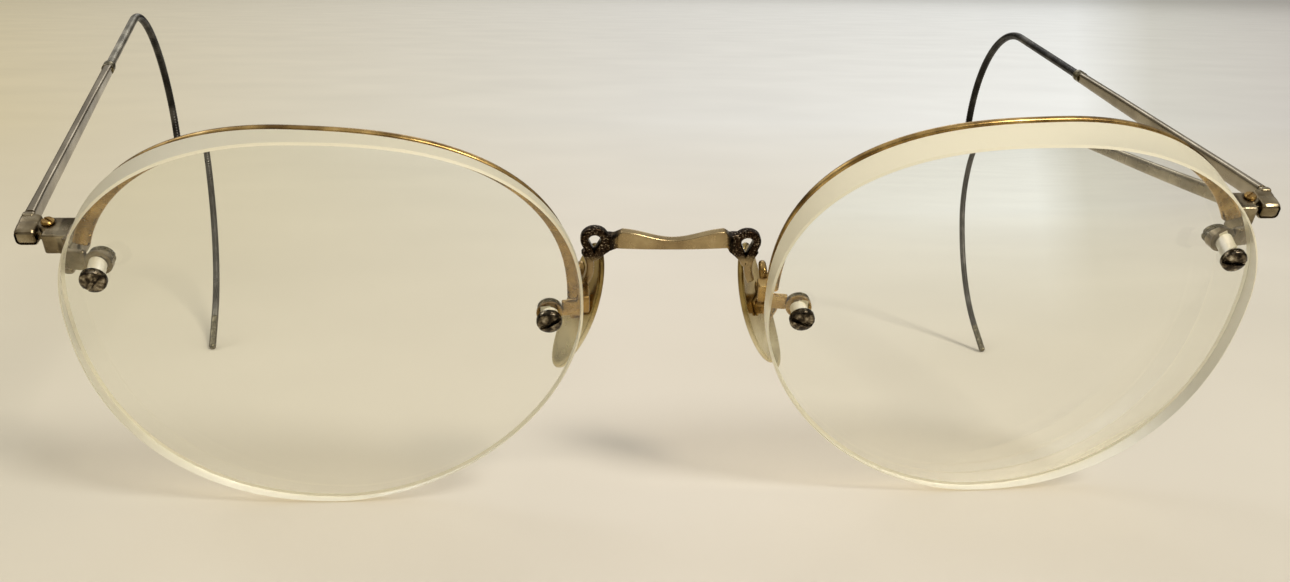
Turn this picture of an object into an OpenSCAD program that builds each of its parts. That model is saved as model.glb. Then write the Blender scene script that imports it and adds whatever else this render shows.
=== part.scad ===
// Antique eyeglasses: two drilled lenses held by screws at nose and temple,
// a brow wire behind the top edge of each lens, metal nose pads that rock,
// and cable temples that fold. Sides are the wearer's: right is -X, left is +X.
// The glasses rest on the lower rims and on the ends of the two cables.

/* [Lenses] */
// Width of each lens
lens_w = 46; // [42:0.5:50]
// Distance between the lenses
lens_gap = 17; // [15:0.5:20]
// Height of the outline above its centre line
lens_top = 18.9; // [18.5:0.05:19.3]
// Depth of the outline below its centre line
lens_bottom = 24.4; // [24:0.1:24.8]
// Height of the outline's centre line above the mounting line
outline_up = 1.9; // [1:0.1:3]
// Shift of the outline's centre line towards the temple
outline_out = 1.2; // [0:0.1:2.5]
// Fullness of the upper temple corner (2 is an ellipse)
full_top_out = 2.15; // [1.9:0.01:2.6]
// Fullness of the upper nose corner
full_top_in = 2.47; // [1.9:0.01:2.6]
// Fullness of the lower nose corner
full_low_in = 1.77; // [1.7:0.01:2.4]
// Fullness of the lower temple corner
full_low_out = 2.25; // [1.9:0.01:2.5]
// Depth of the lens centres behind the plane of the bridge
lens_y = 2; // [1.8:0.1:2.2]
// Radius of the front surface
front_r = 250; // [230:5:270]
// Radius of the right lens's back surface
back_r_right = 164; // [150:1:180]
// Radius of the left lens's back surface
back_r_left = 95; // [90:1:102]
// Shift of the right back surface towards the nose
back_in_right = 8.9; // [8:0.1:10]
// Shift of the left back surface towards the nose
back_in_left = 4.55; // [4:0.05:5.2]
// Shift of the right back surface downwards
back_down_right = 1.05; // [0.6:0.05:1.6]
// Shift of the left back surface downwards
back_down_left = 4; // [3.4:0.1:4.6]
// Thickness at the back surface's centre
lens_t = 1.4; // [1.2:0.05:1.6]
// Lean of the lens plane when the glasses rest
lean = 26.4; // [22:0.2:30]

/* [Lens screws] */
// Distance of the nasal screw from the lens edge
screw_in_edge = 3.1; // [2.8:0.1:3.6]
// Height of the nasal screw above the mounting line
screw_in_up = 2.05; // [1.8:0.05:2.4]
// Distance of the temple screw from the lens edge
screw_out_edge = 3.8; // [3.5:0.1:4.2]
// Height of the right temple screw above the mounting line
screw_out_up_right = 7.05; // [6.8:0.05:7.5]
// Height of the left temple screw above the mounting line
screw_out_up_left = 8.75; // [8.4:0.05:9.1]
// Radius of the screw shanks
shank_r = 0.55; // [0.45:0.05:0.6]
// Radius of the holes in the glass
hole_r = 0.8; // [0.7:0.05:0.95]
// Radius of the screw heads
head_r = 1.18; // [1.05:0.01:1.3]
// Height of the screw heads
head_h = 0.9; // [0.7:0.05:1.1]
// Width of the driver slots
slot_w = 0.35; // [0.25:0.05:0.45]
// Radius of the nuts
nut_r = 1.12; // [1:0.01:1.25]
// Height of the nuts
nut_h = 0.7; // [0.6:0.05:1]
// Metal left under a nut at its thinnest
boss_t = 0.2; // [0.15:0.05:0.4]

/* [Brow wires] */
// Width of the wire across the lens face
wire_w = 1.15; // [0.8:0.05:1.5]
// Depth of the wire
wire_d = 0.75; // [0.5:0.05:1]
// Width of the wire at its temple end
wire_end_w = 1.6; // [1.2:0.05:2]
// How far the ends of the right wire stay inside the lens edge
wire_in_right = 0.4; // [0:0.01:0.5]
// How far the ends of the left wire stay inside the lens edge
wire_in_left = 0.05; // [-0.1:0.01:0.2]
// How far the middle of the right wire stays inside the lens edge
wire_top_right = 0.04; // [-0.1:0.01:0.15]
// How far the middle of the left wire stays inside the lens edge
wire_top_left = -0.12; // [-0.3:0.01:0]

/* [Straps and endpieces] */
// Thickness of the ears that follow the glass
strap_t = 0.55; // [0.5:0.05:0.9]
// Height of the nasal straps
strap_in_h = 1.6; // [1.4:0.1:1.9]
// Rise of the nasal straps above their screws
strap_in_rise = 0.35; // [0.2:0.05:0.5]
// Height of the temple straps
strap_out_h = 2.1; // [1.8:0.1:2.4]
// How far the nasal block reaches past the lens edge
block_out = 0.6; // [0.4:0.1:0.9]
// Height of the nasal block
block_h = 1.9; // [1.7:0.1:2.2]
// Height of the foot behind the block that carries the guard arm
foot_h = 0.8; // [0.6:0.1:1]

/* [Bridge] */
// Shift of the bridge towards the wearer's left
bridge_x = -0.55; // [-0.8:0.05:0]
// Half length of the flat bar
bar_half = 4.9; // [4:0.1:5.2]
// Height of the bar's lower edge above the mounting line
bar_z = 8.25; // [7.8:0.05:8.8]
// Height of the bar at its two peaks
bar_end_h = 1.95; // [1.6:0.05:2.1]
// Height of the bar at its middle
bar_mid_h = 1.2; // [1:0.05:1.4]
// Distance of each peak from the bar's middle
bar_peak = 4.5; // [4:0.1:4.8]
// Height of the necks between the peaks and the loops
neck_h = 0.75; // [0.6:0.05:1]
// Length of the slope from a peak to its neck
neck_l = 1.05; // [0.8:0.05:1.3]
// Rise of the bar's lower edge at its middle
bar_arch = 0.15; // [0:0.05:0.3]
// Thickness of the bar
bar_t = 0.75; // [0.6:0.05:0.9]
// Distance of the bar's front face behind the lens plane
bar_y = 4.9; // [4.4:0.1:5.2]
// Distance of the loops' front face behind the lens plane
loop_y = 5.9; // [5.7:0.1:6.1]
// Depth of the loops and straps
loop_t = 0.9; // [0.7:0.05:1]
// Outer radius of the teardrop loops
loop_r = 1.3; // [1.2:0.05:1.4]
// Width of the metal round the loop's hole
loop_wall = 0.76; // [0.6:0.02:0.8]
// Rise of the right loop above the left one
loop_rise = 0.35; // [0:0.05:0.5]
// Depth of the point of the right loop's hole under the left loop's centre
hole_down_right = 1.3; // [1.1:0.05:1.6]
// Depth of the point of the left loop's hole under the same centre
hole_down_left = 2.2; // [1.3:0.05:2.3]
// Metal below the points of the holes
point_wall = 0.9; // [0.7:0.05:1]

/* [Guard arms] */
// Radius of the arm wire
arm_r = 0.35; // [0.3:0.01:0.4]
// Distance of the arms from the middle
arm_x = 8.7; // [8.6:0.05:9]
// Gap between the nasal block and the arm
arm_gap = 0.15; // [0.1:0.05:0.3]
// Radius of the arm's coil
arm_coil_r = 0.85; // [0.75:0.05:0.95]
// Height of the coil's centre above the mounting line
arm_coil_z = 2.9; // [2.7:0.1:3.3]
// Distance of the pad pivots from the middle
pad_x = 9.5; // [9.2:0.05:9.8]
// Height of the pad pivots above the mounting line
pad_z = -1.7; // [-2.2:0.1:-1]

/* [Nose pads] */
// Length of a pad
pad_l = 14.0; // [12:0.2:15]
// Width of a pad
pad_w = 5.0; // [4.4:0.1:5.6]
// Thickness of a pad
pad_t = 0.6; // [0.5:0.05:0.8]
// Radius of the pad's crown
pad_crown_r = 40; // [24:1:60]
// Angle of the pads to the front-to-back direction
pad_frontal = 26; // [22:1:30]
// Splay of the pads, wider at the bottom
pad_splay = 19; // [15:1:21]
// Radius of the pad pins
pin_r = 0.3; // [0.25:0.01:0.32]
// Radius of the eye at the end of the guard arm
eye_r = 0.56; // [0.54:0.01:0.6]
// Length of the eye
eye_l = 0.8; // [0.7:0.05:0.9]
// Thickness of the cheeks
cheek_t = 0.42; // [0.35:0.01:0.5]

/* [Hinges] */
// Distance of the right hinge pivot past the lens edge
pivot_out_right = 2.0; // [1.8:0.05:2.2]
// Distance of the left hinge pivot past the lens edge
pivot_out_left = 0.6; // [0.5:0.05:1]
// Distance of the hinge pivots behind the deeper lens's temple edge
hinge_back = 1.9; // [1.8:0.05:2.1]
// Height of the right hinge above the mounting line
hinge_z_right = 6.3; // [6:0.1:6.8]
// Height of the left hinge above the mounting line
hinge_z_left = 9.1; // [8.6:0.1:9.4]
// Radius of the hinge knuckles
knuckle_r = 0.85; // [0.8:0.05:0.9]
// Thickness of each hinge ear
ear_t = 0.6; // [0.5:0.05:0.7]
// Thickness of the temple's tongue
tongue_t = 0.8; // [0.7:0.05:0.9]
// Radius of the hinge screws
hinge_pin_r = 0.4; // [0.36:0.01:0.42]

/* [Temples] */
// Width of the butt block
butt_w = 1.9; // [1.7:0.1:2.1]
// Length of the butt in front of the shaft
butt_l = 2.9; // [2.6:0.1:3.2]
// Length of the shaft from the butt to the cable
shaft_l = 46.8; // [40:0.2:50]
// Height of the shaft at the butt
shaft_h = 1.75; // [1.5:0.05:1.9]
// Thickness of the shaft
shaft_t = 0.95; // [0.85:0.05:1.1]
// Height of the shaft where it meets the cable
shaft_end_h = 1.3; // [1.15:0.05:1.5]
// Radius of the cable
cable_r = 0.53; // [0.48:0.01:0.56]
// Length of the collar
ferrule_l = 2.0; // [1.6:0.1:3]
// Straight length of the right temple before the ear bend
reach_right = 69.8; // [66:0.1:78]
// Straight length of the left temple before the ear bend
reach_left = 71.0; // [66:0.1:78]
// Outward splay of the right temple
splay_right = 7.3; // [4:0.1:9]
// Outward splay of the left temple
splay_left = 0.3; // [-1:0.1:5]
// Inward turn of the right ear bend
hook_in_right = 6.4; // [3:0.1:8]
// Inward turn of the left ear bend
hook_in_left = 3.8; // [3:0.1:8]
// Radius of the ear bend
bend_r = 15.5; // [14:0.1:17]
// Angle of the ear bend
bend_a = 122; // [118:1:124]
// Radius of the tail curve
tail_r = 40; // [36:0.5:44]
// Angle of the right tail curve
tail_a_right = 41.4; // [36:0.2:46]
// Angle of the left tail curve
tail_a_left = 37.2; // [34:0.2:42]
// Length of the solid tip at the end of the cable
tail_l = 7.2; // [6:0.2:9]

/* [Hidden] */
$fn = 96;
// Gap between pieces that are seated on each other
seat = 0.05;
// Gap between metal and glass
glass_gap = 0.12;
// Radial clearance of the lens screws in straps and nuts
screw_fit = 0.03;
// Radial clearance of the moving pins
run_fit = 0.04;
// Side clearance of the moving tongues and eyes
side_fit = 0.06;
// Radial clearance of pressed pins and of the cable in its collar
press_fit = 0.02;
sphere_fn = 360;
// Depth of the cuts that go right through the bridge
deep = 14;
outline_n = 96;
wire_n = 44;
wire_sides = 12;
cable_sides = 16;
bend_n = 40;
tail_n = 12;

RIGHT = -1;
LEFT = 1;

lens_x = lens_gap / 2 + lens_w / 2;
edge_x = lens_gap / 2 + lens_w;
screw_in = lens_w / 2 - screw_in_edge;
screw_out = lens_w / 2 - screw_out_edge;
ear_gap = tongue_t + 2 * side_fit;
hinge_h = ear_gap + 2 * ear_t;
heel_l = 0.9;
bevel = 0.1;
block_x0 = lens_gap / 2 - block_out;
block_x1 = arm_x + arm_r + 0.15;
block_z0 = screw_in_up + strap_in_rise - block_h / 2;
block_z1 = block_z0 + block_h;
foot_z1 = block_z0 + foot_h;

function back_r(k) = k == LEFT ? back_r_left : back_r_right;
function back_in(k) = k == LEFT ? back_in_left : back_in_right;
function back_down(k) = k == LEFT ? back_down_left : back_down_right;
function screw_out_up(k) = k == LEFT ? screw_out_up_left : screw_out_up_right;
function wire_in(k) = k == LEFT ? wire_in_left : wire_in_right;
function wire_top(k) = k == LEFT ? wire_top_left : wire_top_right;
function hole_down(k) = k == LEFT ? hole_down_left : hole_down_right;
function hinge_z(k) = k == LEFT ? hinge_z_left : hinge_z_right;
function pivot_x(k) = edge_x + (k == LEFT ? pivot_out_left : pivot_out_right);
function butt_x(k) = pivot_x(k) + knuckle_r + 0.12;
function shaft_x(k) = butt_x(k) + butt_w - shaft_t / 2 - 0.1;
function splay(k) = k == LEFT ? splay_left : splay_right;
function hook_in(k) = k == LEFT ? hook_in_left : hook_in_right;
function reach(k) = k == LEFT ? reach_left : reach_right;
function tail_a(k) = k == LEFT ? tail_a_left : tail_a_right;

// Outline: four quarters of superellipses that meet on one pair of axes.
// In the lens frame +X points to the temple, +Y back and +Z up.
function full(c, s) = c > 0
    ? (s > 0 ? full_top_out : full_low_out)
    : (s > 0 ? full_top_in : full_low_in);
function half_w(c) = c > 0 ? lens_w / 2 - outline_out : lens_w / 2 + outline_out;
function half_h(s) = s > 0 ? lens_top : lens_bottom;
function polar(c, s, n) = pow(pow(abs(c / half_w(c)), n) + pow(abs(s / half_h(s)), n), -1 / n);
function rim(a, inset = 0) =
    let (c = cos(a), s = sin(a), r = polar(c, s, full(c, s)) - inset)
    [outline_out + r * c, outline_up + r * s];
rim_points = [for (i = [0 : outline_n - 1]) rim(360 * i / outline_n)];

// Depth of the glass surfaces behind the lens plane, at a distance from their centres
function front_y(u, v) = lens_y + front_r - sqrt(front_r * front_r - u * u - v * v);
function back_y(k, u, v, off = 0) =
    let (r = back_r(k), a = u + back_in(k), b = v + back_down(k))
    lens_y + lens_t + r - sqrt((r - off) * (r - off) - a * a - b * b);

// The hinges stand behind the deeper lens, and the guard arms behind its brow wire
hinge_y = hinge_back + max([for (k = [RIGHT, LEFT]) back_y(k, lens_w / 2, screw_out_up(k))]);
butt_y = hinge_y - knuckle_r - 0.2;
shaft_y = butt_y + butt_l;
wire_y = glass_gap + wire_d + max([for (k = [RIGHT, LEFT]) back_y(k, -lens_w / 2, block_z1 + 1)]);
block_y1 = max(wire_y, loop_y + loop_t) + 0.05;
arm_y = block_y1 + arm_gap + arm_r;

// Height that puts the lowest point of the rims on the table
lift = -min([for (p = rim_points) p[1] * cos(lean) + front_y(p[0], p[1]) * sin(lean)]);
function stand(p) = [p[0], p[1] * cos(lean) - p[2] * sin(lean),
    p[1] * sin(lean) + p[2] * cos(lean) + lift];

// Temple path in its own plane: forward reach and height, at a turn of the bend and tail
function bend_pt(k, a) = [reach(k) + bend_r * sin(a), bend_r * (cos(a) - 1)];
function tail_pt(k, a) = bend_pt(k, bend_a)
    + tail_r * [sin(bend_a + a) - sin(bend_a), cos(bend_a + a) - cos(bend_a)];
function end_turn(k) = bend_a + tail_a(k);
function end_pt(k) = tail_pt(k, tail_a(k))
    + (tail_l - cable_r) * [cos(end_turn(k)), -sin(end_turn(k))];

// Rise of each temple that brings the cable's end down to the table
function root(k) = stand([k * shaft_x(k), shaft_y, hinge_z(k) + 0.1]);
function rise(k) =
    let (e = end_pt(k), y = e[0], z = e[1] * cos(hook_in(k)), h = cable_r - root(k)[2])
    asin(h / sqrt(y * y + z * z)) - atan2(z, y);
function temple_pt(k, p) =
    let (t = hook_in(k), r = rise(k), s = splay(k),
         x = k * p[1] * sin(t), y1 = p[0], z1 = p[1] * cos(t),
         y2 = y1 * cos(r) - z1 * sin(r), z2 = y1 * sin(r) + z1 * cos(r))
    root(k) + [x * cos(k * s) + y2 * sin(k * s), y2 * cos(k * s) - x * sin(k * s), z2];

// Box of the glasses as they rest, which places the origin under its middle
bend_points = [for (k = [RIGHT, LEFT]) for (a = [0 : 1 : bend_a]) temple_pt(k, bend_pt(k, a))];
rim_lean = [for (p = rim_points) stand([p[0], front_y(p[0], p[1]), p[1]])];
box_x = [min([for (p = bend_points) p[0]]) - cable_r,
    max(max([for (p = bend_points) p[0]]) + cable_r, butt_x(LEFT) + butt_w)];
box_y = [min([for (p = rim_lean) p[1]]), max([for (p = bend_points) p[1]]) + cable_r];
origin = [-(box_x[0] + box_x[1]) / 2, -(box_y[0] + box_y[1]) / 2, 0];

module front_frame() {
    translate(origin + [0, 0, lift]) rotate([lean, 0, 0]) children();
}
module side_frame(k) {
    front_frame() mirror([k == RIGHT ? 1 : 0, 0, 0]) children();
}
module lens_frame(k) {
    side_frame(k) translate([lens_x, 0, 0]) children();
}
module temple_frame(k) {
    translate(origin + root(k)) rotate([0, 0, -k * splay(k)]) rotate([rise(k), 0, 0])
        mirror([k == RIGHT ? 1 : 0, 0, 0]) children();
}
module hook_frame(k) {
    temple_frame(k) rotate([0, hook_in(k), 0]) children();
}
module pad_frame(k) {
    side_frame(k) translate([pad_x, arm_y + 2 * arm_coil_r, pad_z])
        rotate([0, 0, 90 - pad_frontal]) rotate([-pad_splay, 0, 0]) children();
}

// Extrusion along +Y of a shape drawn in X and Z
module along_y(y0, y1) {
    translate([0, y1, 0]) rotate([90, 0, 0]) linear_extrude(y1 - y0) children();
}
module rod_y(r, y0, y1) {
    translate([0, y0, 0]) rotate([-90, 0, 0]) cylinder(r = r, h = y1 - y0);
}
module block(lo, hi) {
    translate(lo) cube(hi - lo);
}
// Closed skin over a list of rings, each a list of points
module skin(rings) {
    n = len(rings[0]);
    m = len(rings);
    sides = [for (i = [0 : m - 2], j = [0 : n - 1], t = [0, 1])
        let (a = i * n + j, b = i * n + (j + 1) % n)
        t == 0 ? [a, b, a + n] : [b, b + n, a + n]];
    caps = concat([[for (j = [n - 1 : -1 : 0]) j]], [[for (j = [0 : n - 1]) (m - 1) * n + j]]);
    polyhedron(points = [for (r = rings) for (p = r) p], faces = concat(sides, caps));
}

module back_ball(k, off) {
    translate([-back_in(k), lens_y + lens_t + back_r(k), -back_down(k)])
        sphere(r = back_r(k) - off, $fn = sphere_fn);
}

module lens(k) {
    color([0.93, 0.93, 0.86, 0.4]) lens_frame(k) difference() {
        intersection() {
            along_y(-1, 14) polygon(rim_points);
            translate([0, lens_y + front_r, 0]) sphere(r = front_r, $fn = sphere_fn);
        }
        back_ball(k, 0);
        translate([-screw_in, 0, screw_in_up]) rod_y(hole_r, -1, 14);
        translate([screw_out, 0, screw_out_up(k)]) rod_y(hole_r, -1, 14);
    }
}

// Lens screws: the head seats on the front surface, the nut on the flat boss of the ear
function head_y(u, v) =
    let (d = sqrt(u * u + v * v) - head_r)
    front_y(d, 0) - seat;
function boss_y(k, u, v) =
    let (a = u + back_in(k), b = v + back_down(k), d = sqrt(a * a + b * b) + nut_r)
    back_y(k, d - back_in(k), -back_down(k), glass_gap) + boss_t;

module lens_screw(k, u, v, turn) {
    y0 = head_y(u, v);
    y1 = boss_y(k, u, v) + nut_h;
    color([0.27, 0.23, 0.19]) lens_frame(k) translate([u, 0, v]) {
        difference() {
            union() {
                rod_y(head_r, y0 - head_h * 0.6, y0);
                translate([0, y0 - head_h * 0.6, 0]) rotate([90, 0, 0])
                    cylinder(r1 = head_r, r2 = head_r * 0.62, h = head_h * 0.4);
            }
            rotate([0, turn, 0])
                block([-2, y0 - head_h - 1, -slot_w / 2], [2, y0 - head_h * 0.55, slot_w / 2]);
        }
        rod_y(shank_r, y0 - 0.01, y1);
    }
}
module lens_nut(k, u, v) {
    y0 = boss_y(k, u, v) + seat;
    color([0.36, 0.33, 0.28]) lens_frame(k) translate([u, 0, v]) difference() {
        rod_y(nut_r, y0, y0 + nut_h);
        rod_y(shank_r + screw_fit, y0 - 1, y0 + nut_h + 1);
        block([-2, y0 + nut_h * 0.7, -slot_w / 2], [-shank_r - 0.1, y0 + nut_h + 1, slot_w / 2]);
        block([shank_r + 0.1, y0 + nut_h * 0.7, -slot_w / 2], [2, y0 + nut_h + 1, slot_w / 2]);
    }
}

// Ear that follows the back of the glass from a screw to the rim, with a flat seat for the nut
module ear(k, u, v, w, u_end, rise = 0) {
    lo = min(u, u_end);
    hi = max(u, u_end);
    difference() {
        union() {
            intersection() {
                difference() {
                    back_ball(k, glass_gap);
                    back_ball(k, glass_gap + strap_t);
                }
                block([lo, 0, v + rise - w / 2], [hi, 14, v + rise + w / 2]);
            }
            intersection() {
                back_ball(k, glass_gap);
                translate([u, 0, v]) rod_y(nut_r + 0.1, 0, boss_y(k, u, v));
            }
        }
        translate([u, 0, v]) rod_y(shank_r + screw_fit, -1, 14);
        translate([u, 0, v]) rod_y(nut_r + 0.1, boss_y(k, u, v), 14);
    }
}

module nasal_strap(k) {
    y0 = back_y(k, -lens_w / 2, screw_in_up) + glass_gap;
    color([0.72, 0.56, 0.33]) union() {
        lens_frame(k) ear(k, -screw_in, screw_in_up, strap_in_h, -lens_w / 2 - 0.3, strap_in_rise);
        side_frame(k) {
            block([block_x0, y0, block_z0], [block_x1, block_y1, block_z1]);
            block([block_x0, y0 + 0.5, block_z0], [block_x1, arm_y + arm_r + 0.1, foot_z1]);
        }
    }
}

module endpiece(k) {
    v = screw_out_up(k);
    rim_y = back_y(k, lens_w / 2, v) + glass_gap;
    low = hinge_z(k) - hinge_h / 2;
    high = hinge_z(k) + hinge_h / 2;
    back = hinge_y + knuckle_r;
    web = hinge_y - knuckle_r - 0.1;
    front = max(web - 1, rim_y);
    color([0.72, 0.56, 0.33]) difference() {
        union() {
            lens_frame(k) ear(k, screw_out, v, strap_out_h, lens_w / 2 - 0.4);
            side_frame(k) {
                block([edge_x - 1.2, rim_y, min(low, v - strap_out_h / 2)],
                    [edge_x - 0.35, max(web, rim_y + 0.8), max(high, v + strap_out_h / 2)]);
                block([edge_x - 1.2, front, low], [pivot_x(k) - knuckle_r - 0.1, back, high]);
                if (front < web - 0.2)
                    block([edge_x - 1.2, front, low], [pivot_x(k) + 0.2, web, high]);
                for (z = [low, high - ear_t]) {
                    block([edge_x - 1.2, front, z], [pivot_x(k), back, z + ear_t]);
                    translate([pivot_x(k), hinge_y, z]) cylinder(r = knuckle_r, h = ear_t);
                }
            }
        }
        side_frame(k) translate([pivot_x(k), hinge_y, low - 1])
            cylinder(r = hinge_pin_r + press_fit, h = hinge_h + 2);
    }
}

module hinge_screw(k) {
    half = hinge_h / 2;
    color([0.66, 0.54, 0.36]) side_frame(k) translate([pivot_x(k), hinge_y, hinge_z(k)]) difference() {
        union() {
            translate([0, 0, -half - 0.15]) cylinder(r = hinge_pin_r, h = hinge_h + 0.3);
            translate([0, 0, half + 0.02]) cylinder(r = hinge_pin_r + 0.2, h = 0.35);
        }
        rotate([0, 0, 35]) block([-1, -slot_w / 3, half + 0.22], [1, slot_w / 3, half + 1]);
    }
}

// The wire starts above the hinge block and ends on top of the nasal block
module brow_wire(k) {
    high = max(hinge_z(k) + hinge_h / 2, screw_out_up(k) + strap_out_h / 2);
    nose_a = 180 - asin((block_z1 + seat - outline_up) / half_w(-1));
    temple_a = asin((high + 0.15 - outline_up) / half_w(1)) + 2;
    color([0.76, 0.6, 0.36]) lens_frame(k) skin([for (i = [0 : wire_n])
        let (t = i / wire_n, a = temple_a + (nose_a - temple_a) * t,
             w = wire_w + (wire_end_w - wire_w) * pow(1 - t, 4),
             inset = wire_top(k) + (wire_in(k) - wire_top(k)) * pow(1 - sin(180 * t), 2),
             c = rim(a, w / 2 + inset), e = rim(a, max(inset, 0)),
             y = max(back_y(k, c[0], c[1]), back_y(k, e[0], e[1])) + glass_gap + wire_d / 2)
        [for (j = [0 : wire_sides - 1])
            let (b = 360 * j / wire_sides, out = cos(b) * w / 2)
            [c[0] + cos(a) * out, y + sin(b) * wire_d / 2, c[1] + sin(a) * out]]]);
}

// Bridge: a front outline and a plan outline, each extruded through the other
loop_x = bar_half + 2.05;
loop_z = bar_z - 0.15;
// Each leg is an arc that bulges towards the nose between its loop and the nasal block
leg_c = [block_x0 + 3.1, block_z1 + 1.9];
leg_r = 3.7;
leg_w = 0.8;
leg_a0 = 146;
leg_a1 = 214;
function arc(c, r, a0, a1, n) = [for (i = [0 : n])
    let (a = a0 + (a1 - a0) * i / n)
    c + r * [cos(a), sin(a)]];
// The bar's top rises to a peak near each end and dips to a neck beside the loop
function bar_top(x) = x < bar_peak ?
    bar_z + bar_mid_h + (bar_end_h - bar_mid_h) * (1 - cos(180 * x / bar_peak)) / 2 :
    bar_z + neck_h + (bar_end_h - neck_h) * (1 + cos(180 * min((x - bar_peak) / neck_l, 1))) / 2;
module teardrop(c, r, tip) {
    polygon(concat(arc(c, r, -25, 205, 24), [tip]));
}
module bar_front() {
    n = 30;
    wide = loop_x - loop_r + 0.25;
    polygon(concat([for (i = [-n : n]) [i / n * wide, bar_top(abs(i / n * wide))]],
        [for (i = [n : -1 : -n]) [i / n * wide, bar_z + bar_arch * (1 - pow(i / n, 2))]]));
}
module web_front(z) {
    polygon([[bar_half - 0.6, bar_z], [bar_half, bar_z], [loop_x - 1.65, z - 0.65], [loop_x - 1.25, z - 1.3],
        [loop_x - 0.65, z - 1.95], [loop_x - 0.05, z - 2.45], [loop_x + 0.4, z - 2], [loop_x, z],
        [bar_half + 0.6, z + 0.5], [bar_half - 0.6, bar_z + bar_mid_h]]);
}
module leg_front() {
    polygon(concat(arc(leg_c, leg_r - leg_w / 2, leg_a0, leg_a1, 12),
        arc(leg_c, leg_r + leg_w / 2, leg_a1, leg_a0, 12)));
}
module bridge_plan() {
    bow = 0.3;
    n = 12;
    front = [for (i = [-n : n]) let (x = bar_half * i / n) [x, bar_y - bow * (1 - pow(x / bar_half, 2))]];
    rear = [for (i = [n : -1 : -n]) let (x = (bar_half - 0.15) * i / n)
        [x, bar_y + bar_t - bow * (1 - pow(x / bar_half, 2))]];
    wide = lens_gap / 2;
    polygon(concat(front, [[bar_half + 0.9, loop_y], [wide, loop_y], [wide, loop_y + loop_t],
        [bar_half + 0.55, loop_y + loop_t]], rear, [[-bar_half - 0.55, loop_y + loop_t],
        [-wide, loop_y + loop_t], [-wide, loop_y], [-bar_half - 0.9, loop_y]]));
}
module bridge() {
    color([0.74, 0.57, 0.34]) front_frame() difference() {
        translate([bridge_x, 0, 0]) difference() {
            intersection() {
                union() {
                    along_y(0, deep) bar_front();
                    for (k = [RIGHT, LEFT]) mirror([k == RIGHT ? 1 : 0, 0, 0]) {
                        z = loop_z + (k == RIGHT ? loop_rise : 0);
                        tip_z = loop_z - hole_down(k) - point_wall;
                        along_y(0, deep) teardrop([loop_x, z], loop_r, [loop_x - 0.05, tip_z]);
                        along_y(0, deep) web_front(z);
                        along_y(0, deep) leg_front();
                    }
                }
                linear_extrude(deep) bridge_plan();
            }
            for (k = [RIGHT, LEFT]) mirror([k == RIGHT ? 1 : 0, 0, 0]) {
                z = loop_z + (k == RIGHT ? loop_rise : 0);
                tip_z = loop_z - hole_down(k);
                along_y(0, deep) teardrop([loop_x, z], loop_r - loop_wall, [loop_x + 0.1, tip_z]);
            }
        }
        for (k = [RIGHT, LEFT]) mirror([k == RIGHT ? 1 : 0, 0, 0])
            block([block_x0 - seat, 0, -5], [block_x0 + 4, deep, block_z1 + seat]);
    }
}

// The arm leans outwards as a whole, so that its rear leg comes down on the pad's pivot
module guard_arm(k) {
    rear_y = arm_y + 2 * arm_coil_r;
    slant = atan((pad_x - arm_x) / (arm_coil_z - pad_z));
    front_l = (arm_coil_z - foot_z1 - 2 * seat) / cos(slant);
    rear_l = (arm_coil_z - pad_z) / cos(slant);
    color([0.68, 0.55, 0.36]) side_frame(k) difference() {
        union() {
            translate([arm_x, arm_y, arm_coil_z]) rotate([0, -slant, 0]) {
                translate([0, 0, -front_l]) cylinder(r = arm_r, h = front_l);
                translate([0, arm_coil_r, 0]) rotate([0, 0, 90]) rotate([90, 0, 0])
                    rotate_extrude(angle = 180) translate([arm_coil_r, 0]) circle(r = arm_r);
                translate([0, 2 * arm_coil_r, -rear_l]) cylinder(r = arm_r, h = rear_l);
            }
            translate([pad_x, rear_y, pad_z]) rotate([0, 0, 90 - pad_frontal]) rotate([0, 90, 0])
                cylinder(r = eye_r, h = eye_l, center = true);
        }
        translate([pad_x, rear_y, pad_z]) rotate([0, 0, 90 - pad_frontal]) rotate([0, 90, 0])
            cylinder(r = pin_r + run_fit, h = 3, center = true);
    }
}

// Pad frame: the pivot is at the origin, +X runs back along the pad, +Y faces the nose
base_y = eye_r + 0.1;
base_t = 0.25;
pad_y = base_y + base_t + seat;
cheek_x = eye_l / 2 + side_fit;
module nose_pad(k) {
    pad_points = [for (a = [0 : 6 : 354]) [cos(a) * pad_w / 2, sin(a) * pad_l / 2]];
    color([0.74, 0.6, 0.36]) pad_frame(k) intersection() {
        along_y(pad_y - 3, pad_y + pad_t) polygon(pad_points);
        translate([0, pad_y + pad_t - pad_crown_r, 0]) difference() {
            sphere(r = pad_crown_r, $fn = sphere_fn);
            sphere(r = pad_crown_r - pad_t, $fn = sphere_fn);
        }
    }
}
module pad_box(k) {
    color([0.7, 0.56, 0.34]) pad_frame(k) difference() {
        union() {
            block([-cheek_x - cheek_t, base_y, -0.85], [cheek_x + cheek_t, base_y + base_t, 0.85]);
            for (x = [-cheek_x - cheek_t, cheek_x]) {
                block([x, 0, -eye_r], [x + cheek_t, base_y + base_t, eye_r]);
                translate([x, 0, 0]) rotate([0, 90, 0]) cylinder(r = eye_r, h = cheek_t);
            }
        }
        rotate([0, 90, 0]) cylinder(r = pin_r + press_fit, h = 6, center = true);
    }
}
module pad_pin(k) {
    color([0.6, 0.5, 0.36]) pad_frame(k) rotate([0, 90, 0])
        cylinder(r = pin_r, h = 2 * (cheek_x + cheek_t) + 0.1, center = true);
}

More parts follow.
